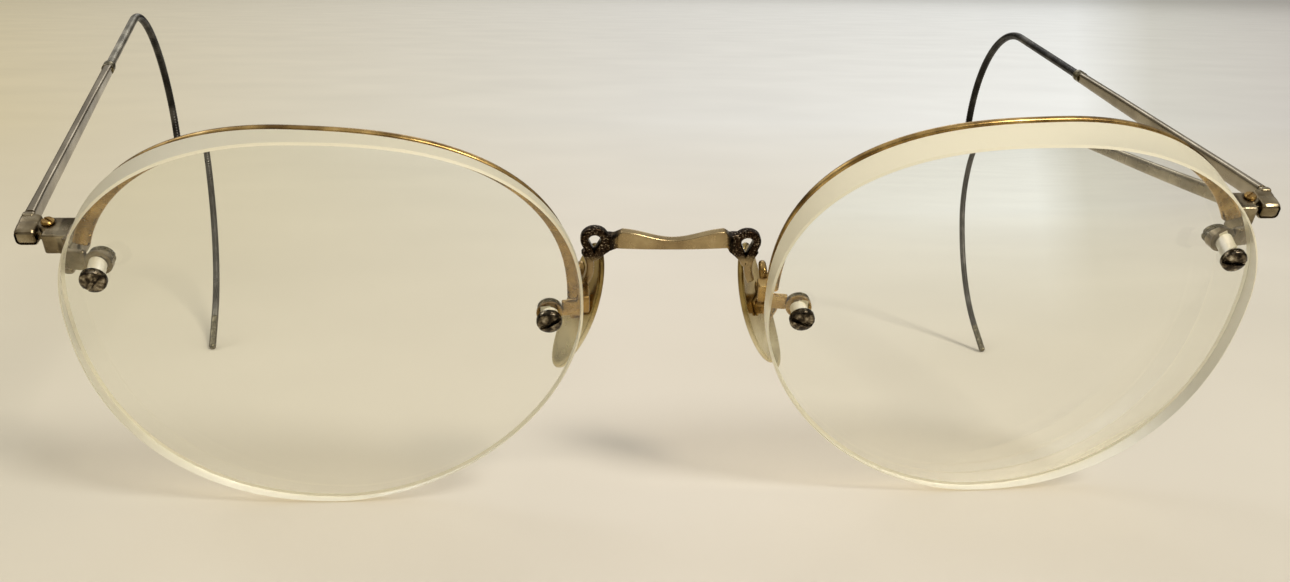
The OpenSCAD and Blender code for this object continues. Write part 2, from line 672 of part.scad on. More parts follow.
module temple_butt(k) {
    z0 = hinge_z(k) - hinge_h / 2 + bevel;
    z1 = hinge_z(k) + hinge_h / 2 - bevel;
    color([0.7, 0.54, 0.35]) difference() {
        union() {
            side_frame(k) {
                translate([pivot_x(k), hinge_y, hinge_z(k) - tongue_t / 2]) cylinder(r = knuckle_r, h = tongue_t);
                block([pivot_x(k), hinge_y - 0.6, hinge_z(k) - tongue_t / 2],
                    [butt_x(k) + 0.2, hinge_y + 0.6, hinge_z(k) + tongue_t / 2]);
                translate([butt_x(k), 0, 0]) rotate([90, 0, 90]) linear_extrude(butt_w)
                    polygon([[butt_y, z0], [butt_y, z1 - 0.3], [butt_y + 0.3, z1],
                        [shaft_y - 0.15, z1], [shaft_y - 0.15, z0 + 0.5], [butt_y + 1.2, z0]]);
            }
            temple_frame(k) block([-shaft_t * 0.7, -heel_l, -shaft_h / 2], [shaft_t * 0.57, 0, shaft_h / 2]);
        }
        side_frame(k) translate([pivot_x(k), hinge_y, hinge_z(k) - 3])
            cylinder(r = hinge_pin_r + run_fit, h = 6);
    }
}
// Rounded flat section of the shaft, in X and Z
function shaft_ring(y, t, h) = [for (i = [0 : 23])
    let (a = -15 * i, c = cos(a), s = sin(a), n = 3.2,
         r = pow(pow(abs(2 * c / t), n) + pow(abs(2 * s / h), n), -1 / n))
    [r * c, y, r * s]];
module temple_shaft(k) {
    color([0.68, 0.55, 0.38]) temple_frame(k)
        skin([shaft_ring(seat, shaft_t * 1.15, shaft_h), shaft_ring(6, shaft_t, shaft_h),
            shaft_ring(shaft_l * 0.75, shaft_t, (shaft_h + shaft_end_h) / 2),
            shaft_ring(shaft_l, shaft_t * 1.1, shaft_end_h)]);
}
module ferrule(k) {
    color([0.6, 0.52, 0.4]) temple_frame(k) translate([0, shaft_l + seat, 0]) difference() {
        union() {
            rod_y(cable_r + 0.2, 0, ferrule_l - 0.3);
            translate([0, ferrule_l - 0.3, 0]) rotate([-90, 0, 0])
                cylinder(r1 = cable_r + 0.2, r2 = cable_r + 0.08, h = 0.3);
        }
        rod_y(cable_r + press_fit, -1, ferrule_l + 1);
    }
}
// Cable: a round skin along the straight, the ear bend and the flatter tail curve
function cable_ring(p, turn) = [for (j = [0 : cable_sides - 1])
    let (b = -360 * j / cable_sides)
    [cable_r * cos(b), p[0] + cable_r * sin(b) * sin(turn), p[1] + cable_r * sin(b) * cos(turn)]];
module cable(k) {
    color([0.3, 0.29, 0.27]) hook_frame(k) skin(concat(
        [cable_ring([shaft_l + 2 * seat, 0], 0)],
        [for (i = [0 : bend_n]) let (a = bend_a * i / bend_n) cable_ring(bend_pt(k, a), a)],
        [for (i = [1 : tail_n]) let (a = tail_a(k) * i / tail_n) cable_ring(tail_pt(k, a), bend_a + a)]));
}
module cable_tip(k) {
    e = tail_pt(k, tail_a(k));
    color([0.5, 0.46, 0.38]) hook_frame(k) translate([0, e[0], e[1]]) rotate([-end_turn(k), 0, 0]) {
        rod_y(cable_r, seat, tail_l - cable_r);
        translate([0, tail_l - cable_r, 0]) sphere(r = cable_r);
    }
}

lens(RIGHT);  // lens_right
lens(LEFT);  // lens_left
bridge();
brow_wire(RIGHT);  // brow_wire_right
brow_wire(LEFT);  // brow_wire_left
nasal_strap(RIGHT);  // nasal_strap_right
nasal_strap(LEFT);  // nasal_strap_left
endpiece(RIGHT);  // endpiece_right
endpiece(LEFT);  // endpiece_left
lens_screw(RIGHT, -screw_in, screw_in_up, 30);  // lens_screw_nasal_right
lens_screw(RIGHT, screw_out, screw_out_up_right, 50);  // lens_screw_temporal_right
lens_screw(LEFT, -screw_in, screw_in_up, 20);  // lens_screw_nasal_left
lens_screw(LEFT, screw_out, screw_out_up_left, 5);  // lens_screw_temporal_left
lens_nut(RIGHT, -screw_in, screw_in_up);  // lens_nut_nasal_right
lens_nut(RIGHT, screw_out, screw_out_up_right);  // lens_nut_temporal_right
lens_nut(LEFT, -screw_in, screw_in_up);  // lens_nut_nasal_left
lens_nut(LEFT, screw_out, screw_out_up_left);  // lens_nut_temporal_left
guard_arm(RIGHT);  // guard_arm_right
guard_arm(LEFT);  // guard_arm_left
hinge_screw(RIGHT);  // hinge_screw_right
hinge_screw(LEFT);  // hinge_screw_left
nose_pad(RIGHT);  // nose_pad_right
nose_pad(LEFT);  // nose_pad_left
pad_box(RIGHT);  // pad_box_right
pad_box(LEFT);  // pad_box_left
pad_pin(RIGHT);  // pad_pin_right
pad_pin(LEFT);  // pad_pin_left
temple_butt(RIGHT);  // temple_butt_right
temple_butt(LEFT);  // temple_butt_left
temple_shaft(RIGHT);  // temple_shaft_right
temple_shaft(LEFT);  // temple_shaft_left
ferrule(RIGHT);  // ferrule_right
ferrule(LEFT);  // ferrule_left
cable(RIGHT);  // cable_right
cable(LEFT);  // cable_left
cable_tip(RIGHT);  // cable_tip_right
cable_tip(LEFT);  // cable_tip_left
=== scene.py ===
"""Antique drilled-lens eyeglasses with cable temples: looks, light and camera."""

import logging
import math
from dataclasses import dataclass
from enum import Enum
from typing import Any, Callable, Sequence

import bmesh
import bpy
import numpy as np
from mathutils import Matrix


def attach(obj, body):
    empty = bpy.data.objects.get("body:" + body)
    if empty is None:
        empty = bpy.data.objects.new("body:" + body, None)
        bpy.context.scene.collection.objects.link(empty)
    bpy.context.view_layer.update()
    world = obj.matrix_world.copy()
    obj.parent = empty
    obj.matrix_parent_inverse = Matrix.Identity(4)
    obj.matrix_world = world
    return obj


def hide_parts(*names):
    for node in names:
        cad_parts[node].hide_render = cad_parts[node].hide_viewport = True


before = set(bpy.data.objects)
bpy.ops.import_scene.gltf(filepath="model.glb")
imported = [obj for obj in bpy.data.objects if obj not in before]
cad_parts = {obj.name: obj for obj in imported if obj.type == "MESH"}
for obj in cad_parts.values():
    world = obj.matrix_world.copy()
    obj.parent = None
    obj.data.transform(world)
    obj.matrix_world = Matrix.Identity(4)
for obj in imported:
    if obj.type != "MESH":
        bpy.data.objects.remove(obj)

LOG = logging.getLogger("eyeglasses")
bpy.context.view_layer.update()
Array = np.ndarray
Stops = tuple[tuple[float, str], ...]
Pair = tuple[float, float]
MM_PER_M = 1000
X_AXIS, Y_AXIS, Z_AXIS = np.eye(3)
# Radius in millimetres, or share of a ring, at which a surface is closed by a tiny cap
POLE = 0.004
# Angles in degrees above which an edge stays crisp, on metal and on glass
METAL_CREASE, GLASS_CREASE = 38.0, 30.0


class Side(Enum):
    """The wearer's side that a piece belongs to, with its sign along X."""

    RIGHT = -1
    LEFT = 1

    @property
    def word(self) -> str:
        """Gives the side's word in node names."""
        return self.name.lower()


def linear(code: str) -> tuple[float, float, float, float]:
    """Turns an sRGB hex colour into a linear one.

    Args:
        code: Six hex digits with a leading hash.

    Returns:
        Linear red, green, blue and an alpha of 1.
    """
    parts = [int(code[i : i + 2], 16) / 255 for i in (1, 3, 5)]
    rgb = (c / 12.92 if c <= 0.04045 else ((c + 0.055) / 1.055) ** 2.4 for c in parts)
    return (*rgb, 1.0)


def add_node(tree: Any, kind: str, inputs: dict[Any, Any] | None = None, **settings: Any) -> Any:
    """Adds one shader node with its settings, values and links.

    Args:
        tree: Node tree that gets the node.
        kind: Blender's node type name.
        inputs: Socket name or index to a value, or to an output socket to link.
        **settings: Attributes of the node.

    Returns:
        The new node.
    """
    node = tree.nodes.new(kind)
    for name, value in settings.items():
        setattr(node, name, value)
    for socket, value in (inputs or {}).items():
        if isinstance(value, bpy.types.NodeSocket):
            tree.links.new(value, node.inputs[socket])
        else:
            node.inputs[socket].default_value = value
    return node


def ramp(tree: Any, factor: Any, stops: Sequence[tuple[float, str]]) -> Any:
    """Maps a factor through colour stops.

    Args:
        tree: Node tree that gets the ramp.
        factor: Output socket that drives it.
        stops: Position and sRGB hex colour of each stop.

    Returns:
        The ramp's colour socket.
    """
    node = add_node(tree, "ShaderNodeValToRGB", {0: factor})
    band = node.color_ramp
    while len(band.elements) < len(stops):
        band.elements.new(0.5)
    for element, (place, code) in zip(band.elements, stops):
        element.position = place
        element.color = linear(code)
    return node.outputs["Color"]


def scaled(tree: Any, factor: Any, low: float, high: float) -> Any:
    """Stretches a factor of 0.3 to 0.7, where most noise lies, over a range of values."""
    inputs = {0: factor, 1: 0.3, 2: 0.7, 3: low, 4: high}
    return add_node(tree, "ShaderNodeMapRange", inputs).outputs[0]


def fade(tree: Any, value: Any, start: float, end: float) -> Any:
    """Gives a factor that goes from 0 at the start to 1 at the end."""
    return add_node(tree, "ShaderNodeMapRange", {0: value, 1: start, 2: end}).outputs[0]


def maths(tree: Any, operation: str, first: Any, second: Any = 0.0) -> Any:
    """Combines two values by one of Blender's math operations."""
    inputs = {0: first, 1: second}
    return add_node(tree, "ShaderNodeMath", inputs, operation=operation).outputs[0]


def blend(tree: Any, share: Any, first: Any, second: Any, way: str = "MIX") -> Any:
    """Mixes two colours by a share of the second."""
    inputs = {0: share, 6: first, 7: second}
    node = add_node(tree, "ShaderNodeMix", inputs, data_type="RGBA", blend_type=way)
    return node.outputs[2]


def grain(tree: Any, coords: Any, size_mm: float, detail: float = 3.0) -> Any:
    """Gives noise whose spots are about a size in millimetres wide."""
    inputs = {"Vector": coords, "Scale": MM_PER_M / size_mm, "Detail": detail}
    return add_node(tree, "ShaderNodeTexNoise", inputs).outputs["Fac"]


def blank(name: str) -> tuple[Any, Any, Any]:
    """Makes a material with no nodes but the place on the piece.

    Args:
        name: The material's name.

    Returns:
        The material, its node tree and the socket with the place in metres.
    """
    mat = bpy.data.materials.new(name)
    mat.use_nodes = True
    tree = mat.node_tree
    tree.nodes.clear()
    return mat, tree, add_node(tree, "ShaderNodeTexCoord").outputs["Object"]


@dataclass(frozen=True)
class Metal:
    """Worn metal: cloudy tint, uneven polish and fine handling marks."""

    name: str
    stops: Stops
    cloud_mm: float
    rough: Pair
    mark_mm: float
    mark_depth: float
    stretch: tuple[float, float, float] = (1.0, 1.0, 1.0)

    def make(self) -> Any:
        """Builds the material; the marks are a quarter as deep as they are wide.

        Returns:
            The finished Blender material.
        """
        mat, tree, where = blank(self.name)
        clouds = grain(tree, where, self.cloud_mm, 5.0)
        pull = {"Vector": where, "Scale": self.stretch}
        pulled = add_node(tree, "ShaderNodeMapping", pull).outputs[0]
        marks = grain(tree, pulled, self.mark_mm, 4.0)
        wear = grain(tree, where, self.cloud_mm * 0.35, 3.0)
        depth = self.mark_mm / 4 / MM_PER_M
        relief = {"Height": marks, "Strength": self.mark_depth, "Distance": depth}
        look = {
            "Base Color": self.colour(tree, where, clouds),
            "Metallic": 1.0,
            "Roughness": scaled(tree, wear, *self.rough),
            "Normal": add_node(tree, "ShaderNodeBump", relief).outputs[0],
        }
        shader = add_node(tree, "ShaderNodeBsdfPrincipled", look)
        add_node(tree, "ShaderNodeOutputMaterial", {"Surface": shader.outputs[0]})
        return mat

    def colour(self, tree: Any, where: Any, clouds: Any) -> Any:
        """Gives the colour socket of the clouds; where is the place on the piece."""
        return ramp(tree, clouds, self.stops)


@dataclass(frozen=True)
class TarnishedShaded(Metal):
    """Worn metal with a dark brown skin on both sides of a middle line, above a height: partly
    tarnish and partly painted shade that stands in for dark reflections.
    """

    middle_mm: float = 0.0
    bare_mm: float = 4.95
    side_fade_mm: float = 0.4
    floor_mm: float = 26.7
    floor_fade_mm: float = 0.8
    wander_mm: float = 0.25
    # Dark skin colours: partly tarnish, partly painted shade standing in for dark reflections on
    # the loops
    skin: Stops = ((0.3, "#120C07"), (0.5, "#261A10"), (0.62, "#4A3C2B"), (0.72, "#A59A86"))

    def colour(self, tree: Any, where: Any, clouds: Any) -> Any:
        """Lays the dark skin, partly tarnish and partly painted shade for dark reflections, over
        the plate where the distance from the middle is large enough.

        Args:
            tree: Node tree that gets the nodes.
            where: Socket with the place on the piece, in metres.
            clouds: Socket with the cloudy factor of the plate.

        Returns:
            The blended colour socket.
        """
        place = add_node(tree, "ShaderNodeSeparateXYZ", {0: where})
        most = self.wander_mm / MM_PER_M
        wander = scaled(tree, grain(tree, where, 0.8, 3.0), -most, most)
        off = maths(tree, "SUBTRACT", place.outputs["X"], self.middle_mm / MM_PER_M)
        reach = maths(tree, "ADD", maths(tree, "ABSOLUTE", off), wander)
        bare, low = self.bare_mm / MM_PER_M, self.floor_mm / MM_PER_M
        sides = fade(tree, reach, bare, bare + self.side_fade_mm / MM_PER_M)
        above = fade(tree, place.outputs["Z"], low, low + self.floor_fade_mm / MM_PER_M)
        both = maths(tree, "MULTIPLY", sides, above)
        # The skin mixes tarnish with painted shade for the loops' dark reflections
        skin = ramp(tree, grain(tree, where, 0.16, 2.0), self.skin)
        return blend(tree, both, super().colour(tree, where, clouds), skin)


@dataclass(frozen=True)
class Rubbed(Metal):
    """Worn metal with a painted highlight: lighter colour stops on one side of a plane square to an
    axis.
    """

    axis: str = "Z"
    start_mm: float = 0.0
    end_mm: float = 1.0
    # Painted highlight colours: a lighter, lit copy of the plate
    painted_bright: Stops = ((0.3, "#BBAE88"), (0.5, "#D6CBA8"), (0.7, "#EAE2C6"))

    def colour(self, tree: Any, where: Any, clouds: Any) -> Any:
        """Fades from the painted highlight stops at start_mm to the plain ones at end_mm.

        Args:
            tree: Node tree that gets the nodes.
            where: Socket with the place on the piece, in metres.
            clouds: Socket with the cloudy factor of the plate.

        Returns:
            The blended colour socket.
        """
        place = add_node(tree, "ShaderNodeSeparateXYZ", {0: where}).outputs[self.axis]
        share = fade(tree, place, self.start_mm / MM_PER_M, self.end_mm / MM_PER_M)
        # Painted highlight: the lit copy of the metal's colour
        painted_lit = ramp(tree, clouds, self.painted_bright)
        return blend(tree, share, painted_lit, super().colour(tree, where, clouds))


@dataclass(frozen=True)
class Glass:
    """Ground glass: clear polished faces, or the frosted edge that the wheel leaves."""

    name: str
    tint: str
    roughness: float
    frost: float
    ior: float = 1.523
    shade: str = "#D3CFC8"

    def make(self) -> Any:
        """Builds the material, which lets light through to the table as real glass does.

        Returns:
            The finished Blender material.
        """
        mat, tree, where = blank(self.name)
        look = {
            "Base Color": linear(self.tint),
            "Transmission Weight": 1 - self.frost,
            "Roughness": self.roughness,
            "IOR": self.ior,
        }
        if self.frost:
            grind = grain(tree, where, 0.12, 4.0)
            relief = {"Height": grind, "Strength": 0.5, "Distance": 0.03 / MM_PER_M}
            look["Normal"] = add_node(tree, "ShaderNodeBump", relief).outputs[0]
        shader = add_node(tree, "ShaderNodeBsdfPrincipled", look)
        through = add_node(tree, "ShaderNodeBsdfTransparent", {"Color": linear(self.shade)})
        shadow = add_node(tree, "ShaderNodeLightPath").outputs["Is Shadow Ray"]
        ways = {0: shadow, 1: shader.outputs[0], 2: through.outputs[0]}
        mixed = add_node(tree, "ShaderNodeMixShader", ways)
        add_node(tree, "ShaderNodeOutputMaterial", {"Surface": mixed.outputs[0]})
        return mat


@dataclass(frozen=True)
class Finishes:
    """Every finish of the glasses, made once."""

    clear: Any
    frosted: Any
    gold: Any
    bridge: Any
    butt: Any
    shaft: Any
    pad: Any
    steel: Any
    nut: Any
    pin: Any
    cable: Any
    cable_rubbed: Any

    @staticmethod
    def create() -> "Finishes":
        """Makes the materials.

        Returns:
            The set of finishes.
        """
        dark = ((0.3, "#161513"), (0.5, "#2F2D2A"), (0.72, "#5F5C56"))
        wound = {"cloud_mm": 3.5, "rough": (0.25, 0.42), "mark_mm": 0.1, "mark_depth": 0.25}
        return Finishes(
            # Polished crown glass: colourless, with a slight warm cast in its thickness
            clear=Glass("crown_glass_polished", "#FBFBF4", roughness=0.0, frost=0.0).make(),
            # Edge left by the grinding wheel: cream-white, lets light glow through
            frosted=Glass("crown_glass_ground_edge", "#F3ECD0", roughness=0.45, frost=0.5).make(),
            # Gold-filled brass, worn by handling: olive brown where thin, yellow where polished
            gold=Metal(
                "gold_filled_brass_worn",
                ((0.3, "#6E5430"), (0.48, "#9B7E4C"), (0.6, "#B5955C"), (0.75, "#D2B57C")),
                cloud_mm=2.6, rough=(0.2, 0.36), mark_mm=0.12, mark_depth=0.2,
            ).make(),
            # Bridge bar: the same plate, smoother, with a dark skin on its loops that is partly
            # tarnish and partly painted shade for dark reflections
            bridge=TarnishedShaded(
                "gold_filled_bridge_rolled",
                ((0.3, "#6C573B"), (0.5, "#94805D"), (0.62, "#AB9770"), (0.75, "#C9B792")),
                cloud_mm=5.0, rough=(0.2, 0.34), mark_mm=0.1, mark_depth=0.16, middle_mm=4.803,
            ).make(),
            # Butts, hinges and endpieces: the plate is thin and shows greyish brown base metal
            butt=Metal(
                "gold_filled_butt_rubbed",
                ((0.3, "#5B4F3B"), (0.5, "#7F7259"), (0.7, "#A69A80")),
                cloud_mm=2.2, rough=(0.24, 0.38), mark_mm=0.1, mark_depth=0.2,
            ).make(),
            # Rolled shaft: plate worn to a silvery tan, with lines along the drawing direction
            shaft=Metal(
                "gold_filled_wire_rolled",
                ((0.3, "#6E6451"), (0.5, "#958A75"), (0.7, "#BBB19C")),
                cloud_mm=9.0, rough=(0.22, 0.34), mark_mm=0.1, mark_depth=0.12,
                stretch=(1.0, 0.08, 1.0),
            ).make(),
            # Pressed pad: brighter, with a painted highlight that makes its lower part pale
            pad=Rubbed(
                "gold_filled_pad_painted_highlight",
                ((0.3, "#6F5C34"), (0.5, "#94804E"), (0.7, "#B9A673")),
                cloud_mm=4.0, rough=(0.16, 0.3), mark_mm=0.15, mark_depth=0.15,
                start_mm=17.5, end_mm=21.0,
            ).make(),
            # Screw steel, darkened and rusty brown in its pits
            steel=Metal(
                "screw_steel_aged",
                ((0.3, "#17130E"), (0.48, "#3D352A"), (0.6, "#7B705D"), (0.74, "#C4BBA6")),
                cloud_mm=0.6, rough=(0.14, 0.32), mark_mm=0.08, mark_depth=0.5,
            ).make(),
            # Nuts, collars and tips: greyer, nickel showing through
            nut=Metal(
                "nut_nickel_worn",
                ((0.3, "#2F2A1D"), (0.5, "#605840"), (0.7, "#968C70")),
                cloud_mm=0.5, rough=(0.2, 0.4), mark_mm=0.08, mark_depth=0.4,
            ).make(),
            # Turned pins: brassy, with wear on their ends
            pin=Metal(
                "pin_brass_turned",
                ((0.3, "#6B512D"), (0.5, "#94743F"), (0.7, "#C0A062")),
                cloud_mm=0.6, rough=(0.2, 0.4), mark_mm=0.08, mark_depth=0.3,
            ).make(),
            # Wound steel cable, tarnished almost black between its turns
            cable=Metal("cable_steel_wound", dark, **wound).make(),
            # The same cable with a painted highlight: its straight part is painted bright as a lit
            # copy of the steel
            cable_rubbed=Rubbed(
                "cable_steel_wound_rubbed", dark, **wound, axis="Y", start_mm=27.0, end_mm=35.0,
                painted_bright=((0.3, "#6B675C"), (0.5, "#8F8A7C"), (0.72, "#B4AE9E")),
            ).make(),
        )


@dataclass(frozen=True)
class Layout:
    """The driving sizes of part.scad, in millimetres and degrees, and the frames they give."""

    lens_w: float = 46.0
    lens_gap: float = 17.0
    lens_top: float = 18.9
    lens_bottom: float = 24.4
    outline_up: float = 1.9
    outline_out: float = 1.2
    full: tuple[float, float, float, float] = (2.15, 2.47, 1.77, 2.25)
    lens_y: float = 2.0
    front_r: float = 250.0
    back_r: Pair = (164.0, 95.0)
    back_in: Pair = (8.9, 4.55)
    back_down: Pair = (1.05, 4.0)
    lens_t: float = 1.4
    lean: float = 26.4
    lift: float = 18.8119
    shift: Pair = (5.35289, -44.3568)
    screw_up: Pair = (7.05, 8.75)
    wire_in: Pair = (0.4, 0.05)
    wire_top: Pair = (0.04, -0.12)
    pivot_x: Pair = (56.5, 55.1)
    hinge_y: float = 10.2809
    hinge_z: Pair = (6.3, 9.1)
    knuckle_r: float = 0.85
    shaft_x: Pair = (58.795, 57.395)
    shaft_y: float = 12.1309
    shaft_up: float = 0.1
    rise: Pair = (12.8445, 9.57691)
    splay: Pair = (7.3, 0.3)
    hook_in: Pair = (6.4, 3.8)
    reach: Pair = (69.8, 71.0)
    tail_a: Pair = (41.4, 37.2)
    arm_y: float = 7.35
    coil_r: float = 0.85
    pad_x: float = 9.5
    pad_z: float = -1.7
    block_z: tuple[float, float, float] = (1.45, 2.25, 3.35)

    def of(self, pair: Pair, side: Side) -> float:
        """Picks the right or left value of a pair."""
        return pair[0] if side is Side.RIGHT else pair[1]

    @property
    def lens_x(self) -> float:
        """Distance of a lens centre from the middle."""
        return self.lens_gap / 2 + self.lens_w / 2

    def front_y(self, u: Array, v: Array) -> Array:
        """Depth of the front surface: a sphere through the lens centre."""
        return self.lens_y + self.front_r - np.sqrt(self.front_r**2 - u**2 - v**2)

    def back_y(self, side: Side, u: Array, v: Array, off: float = 0.0) -> Array:
        """Depth of the back surface: a smaller sphere, moved towards the nose and downwards."""
        r = self.of(self.back_r, side)
        a = u + self.of(self.back_in, side)
        b = v + self.of(self.back_down, side)
        return self.lens_y + self.lens_t + r - np.sqrt((r - off) ** 2 - a**2 - b**2)

    def rim(self, a: Array, inset: Array | float = 0.0) -> tuple[Array, Array]:
        """Outline of a lens: four quarters of superellipses on one pair of axes.

        Args:
            a: Angles in radians, from the temple upwards.
            inset: Distance inside the outline along the ray.

        Returns:
            The points' X towards the temple and Z, from the lens centre.
        """
        c, s = np.cos(a), np.sin(a)
        top_out, top_in, low_in, low_out = self.full
        n = np.where(s > 0, np.where(c > 0, top_out, top_in), np.where(c > 0, low_out, low_in))
        half_w = self.lens_w / 2 - np.where(c > 0, self.outline_out, -self.outline_out)
        half_h = np.where(s > 0, self.lens_top, self.lens_bottom)
        r = (np.abs(c / half_w) ** n + np.abs(s / half_h) ** n) ** (-1 / n) - inset
        return self.outline_out + r * c, self.outline_up + r * s

    def hinge(self, side: Side) -> Array:
        """Gives a side's hinge pivot in its upright frame."""
        return np.array([self.of(self.pivot_x, side), self.hinge_y, self.of(self.hinge_z, side)])

    def stand(self, points: Array, side: Side) -> Array:
        """Moves points of a side's upright frame into the leaning world frame, in metres.

        Args:
            points: Array of X outwards, Y back and Z up in the lens plane, in millimetres.
            side: The wearer's side, whose X is mirrored for the right.

        Returns:
            World points in metres.
        """
        t = math.radians(self.lean)
        x, y, z = np.moveaxis(points, -1, 0)
        out = np.stack(
            [
                side.value * x + self.shift[0],
                y * math.cos(t) - z * math.sin(t) + self.shift[1],
                y * math.sin(t) + z * math.cos(t) + self.lift,
            ],
            axis=-1,
        )
        return out / MM_PER_M

    def temple(self, points: Array, side: Side, hooked: bool = False) -> Array:
        """Moves points of a temple's frame, Y along the shaft, into the world.

        Args:
            points: Array in millimetres, X outwards.
            side: The wearer's side.
            hooked: True for the plane of the ear bend, which turns inwards.

        Returns:
            World points in metres.
        """
        x, y, z = np.moveaxis(points, -1, 0)
        if hooked:
            t = math.radians(self.of(self.hook_in, side))
            x, z = x * math.cos(t) + z * math.sin(t), z * math.cos(t) - x * math.sin(t)
        x = x * side.value
        r = math.radians(self.of(self.rise, side))
        y, z = y * math.cos(r) - z * math.sin(r), y * math.sin(r) + z * math.cos(r)
        s = math.radians(side.value * self.of(self.splay, side))
        x, y = x * math.cos(s) + y * math.sin(s), y * math.cos(s) - x * math.sin(s)
        height = self.of(self.hinge_z, side) + self.shaft_up
        root = self.stand(np.array([self.of(self.shaft_x, side), self.shaft_y, height]), side)
        return np.stack([x, y, z], axis=-1) / MM_PER_M + root


@dataclass
class Shell:
    """A surface as arrays: corner points, faces and a material index per face."""

    points: Array
    faces: list[Any]
    marks: Array

    @staticmethod
    def grid(points: Array, caps: bool = True, mark: Array | None = None) -> "Shell":
        """Joins closed rings of points by quads.

        Formula: vertex (i, j) of n rings by m points joins to (i + 1, j + 1), wrapped along j.

        Args:
            points: Rings, shaped (n, m, 3).
            caps: Whether the first and last rings are closed by a face.
            mark: Material index for each row of quads.

        Returns:
            The shell.
        """
        n, m = points.shape[:2]
        i, j = np.meshgrid(np.arange(n - 1), np.arange(m), indexing="ij")
        a, b = i * m + j, i * m + (j + 1) % m
        quads = np.stack([a, b, b + m, a + m], axis=-1)
        marks = np.repeat(np.zeros(n - 1, int) if mark is None else mark, m)
        faces = quads.reshape(-1, 4).tolist()
        if caps:
            faces += [list(range(m))[::-1], list(range((n - 1) * m, n * m))]
            marks = np.concatenate([marks, [marks[0], marks[-1]]])
        return Shell(points.reshape(-1, 3), faces, marks)

    @staticmethod
    def join(shells: Sequence["Shell"]) -> "Shell":
        """Puts several shells into one mesh."""
        starts = np.cumsum([0] + [len(s.points) for s in shells[:-1]])
        faces = [[int(v) + int(o) for v in f] for s, o in zip(shells, starts) for f in s.faces]
        points = np.concatenate([s.points for s in shells])
        return Shell(points, faces, np.concatenate([s.marks for s in shells]))

    def moved(self, place: Callable[[Array], Array]) -> "Shell":
        """Sends every point through a function."""
        return Shell(place(self.points), self.faces, self.marks)


def unit(v: Array) -> Array:
    """Scales vectors to length one."""
    return v / np.linalg.norm(v, axis=-1, keepdims=True)


def frames(path: Array, across: Any) -> tuple[Array, Array, Array]:
    """Gives the direction along a path, and the width and up directions square to it."""
    tangent = unit(np.gradient(path, axis=0))
    across = np.broadcast_to(np.asarray(across, float), path.shape)
    across = unit(across - tangent * np.sum(across * tangent, axis=1, keepdims=True))
    return tangent, across, np.cross(tangent, across)


def rounded_rect(w: Array, h: Array, r: Array, steps: int = 4) -> Array:
    """Outline of a rectangle with round corners: four quarter circles joined by straights.

    Args:
        w: Widths, one for each ring.
        h: Heights, one for each ring.
        r: Corner radii, one for each ring.
        steps: Points in each corner, less one.

    Returns:
        Points shaped (rings, corners, 2), anticlockwise.
    """
    w, h, r = np.broadcast_arrays(*(np.atleast_1d(np.asarray(x, float)) for x in (w, h, r)))
    quarter = np.linspace(0, np.pi / 2, steps + 1)
    angle = np.concatenate([quarter + q * np.pi / 2 for q in range(4)])
    sx = np.repeat([1, -1, -1, 1], steps + 1)
    sy = np.repeat([1, 1, -1, -1], steps + 1)
    x = sx * (w / 2 - r)[:, None] + r[:, None] * np.cos(angle)
    y = sy * (h / 2 - r)[:, None] + r[:, None] * np.sin(angle)
    return np.stack([x, y], axis=-1)


def bar(path: Array, across: Array, w: Any, h: Any, corner: float, soft_ends: bool = True) -> Shell:
    """Carries a rounded rectangle along a path and rounds its ends.

    Formula: ring i is path[i] + x * across[i] + y * up[i], with up square to the path;
    the end rings step in by r (1 - sin t) while they move by r (1 - cos t).

    Args:
        path: Points of the middle line, shaped (n, 3).
        across: Direction of the width at each point, or one for all.
        w: Width, one number or one for each point.
        h: Height, one number or one for each point.
        corner: Radius of the corners and of the end edges.
        soft_ends: Whether the end edges are rounded.

    Returns:
        The closed shell.
    """
    n = len(path)
    tangent, across, up = frames(path, across)
    w, h = np.broadcast_to(w, n).astype(float), np.broadcast_to(h, n).astype(float)
    inset = np.zeros(n)
    if soft_ends:

        def longer(x: Array) -> Array:
            """Repeats the first and last values for the three rings of each end."""
            return np.concatenate([np.repeat(x[:1], 3, 0), x, np.repeat(x[-1:], 3, 0)])

        t = np.radians([0.0, 30.0, 60.0])
        ins, off = corner * (1 - np.sin(t)), corner * (1 - np.cos(t))
        path = path.copy()
        head = path[0] + off[:, None] * tangent[0]
        tail = path[-1] - off[::-1, None] * tangent[-1]
        path[0] += corner * tangent[0]
        path[-1] -= corner * tangent[-1]
        path = np.concatenate([head, path, tail])
        across, up, w, h = map(longer, (across, up, w, h))
        inset = np.concatenate([ins, inset, ins[::-1]])
    r = np.maximum(corner - inset, corner * 0.02)
    r = np.minimum(r, np.minimum(w, h) / 2 - inset - 1e-6)
    shape = rounded_rect(w - 2 * inset, h - 2 * inset, r)
    x, y = shape[..., :1], shape[..., 1:]
    return Shell.grid(path[:, None] + x * across[:, None] + y * up[:, None])


def block(lo: Sequence[float], hi: Sequence[float], corner: float) -> Shell:
    """Makes a box with rounded edges, as a bar carried along Y."""
    lo, hi = np.array(lo, float), np.array(hi, float)
    mid = (lo + hi) / 2
    ys = np.linspace(lo[1], hi[1], 4)
    path = np.stack([np.full(4, mid[0]), ys, np.full(4, mid[2])], axis=-1)
    return bar(path, X_AXIS, hi[0] - lo[0], hi[2] - lo[2], corner)


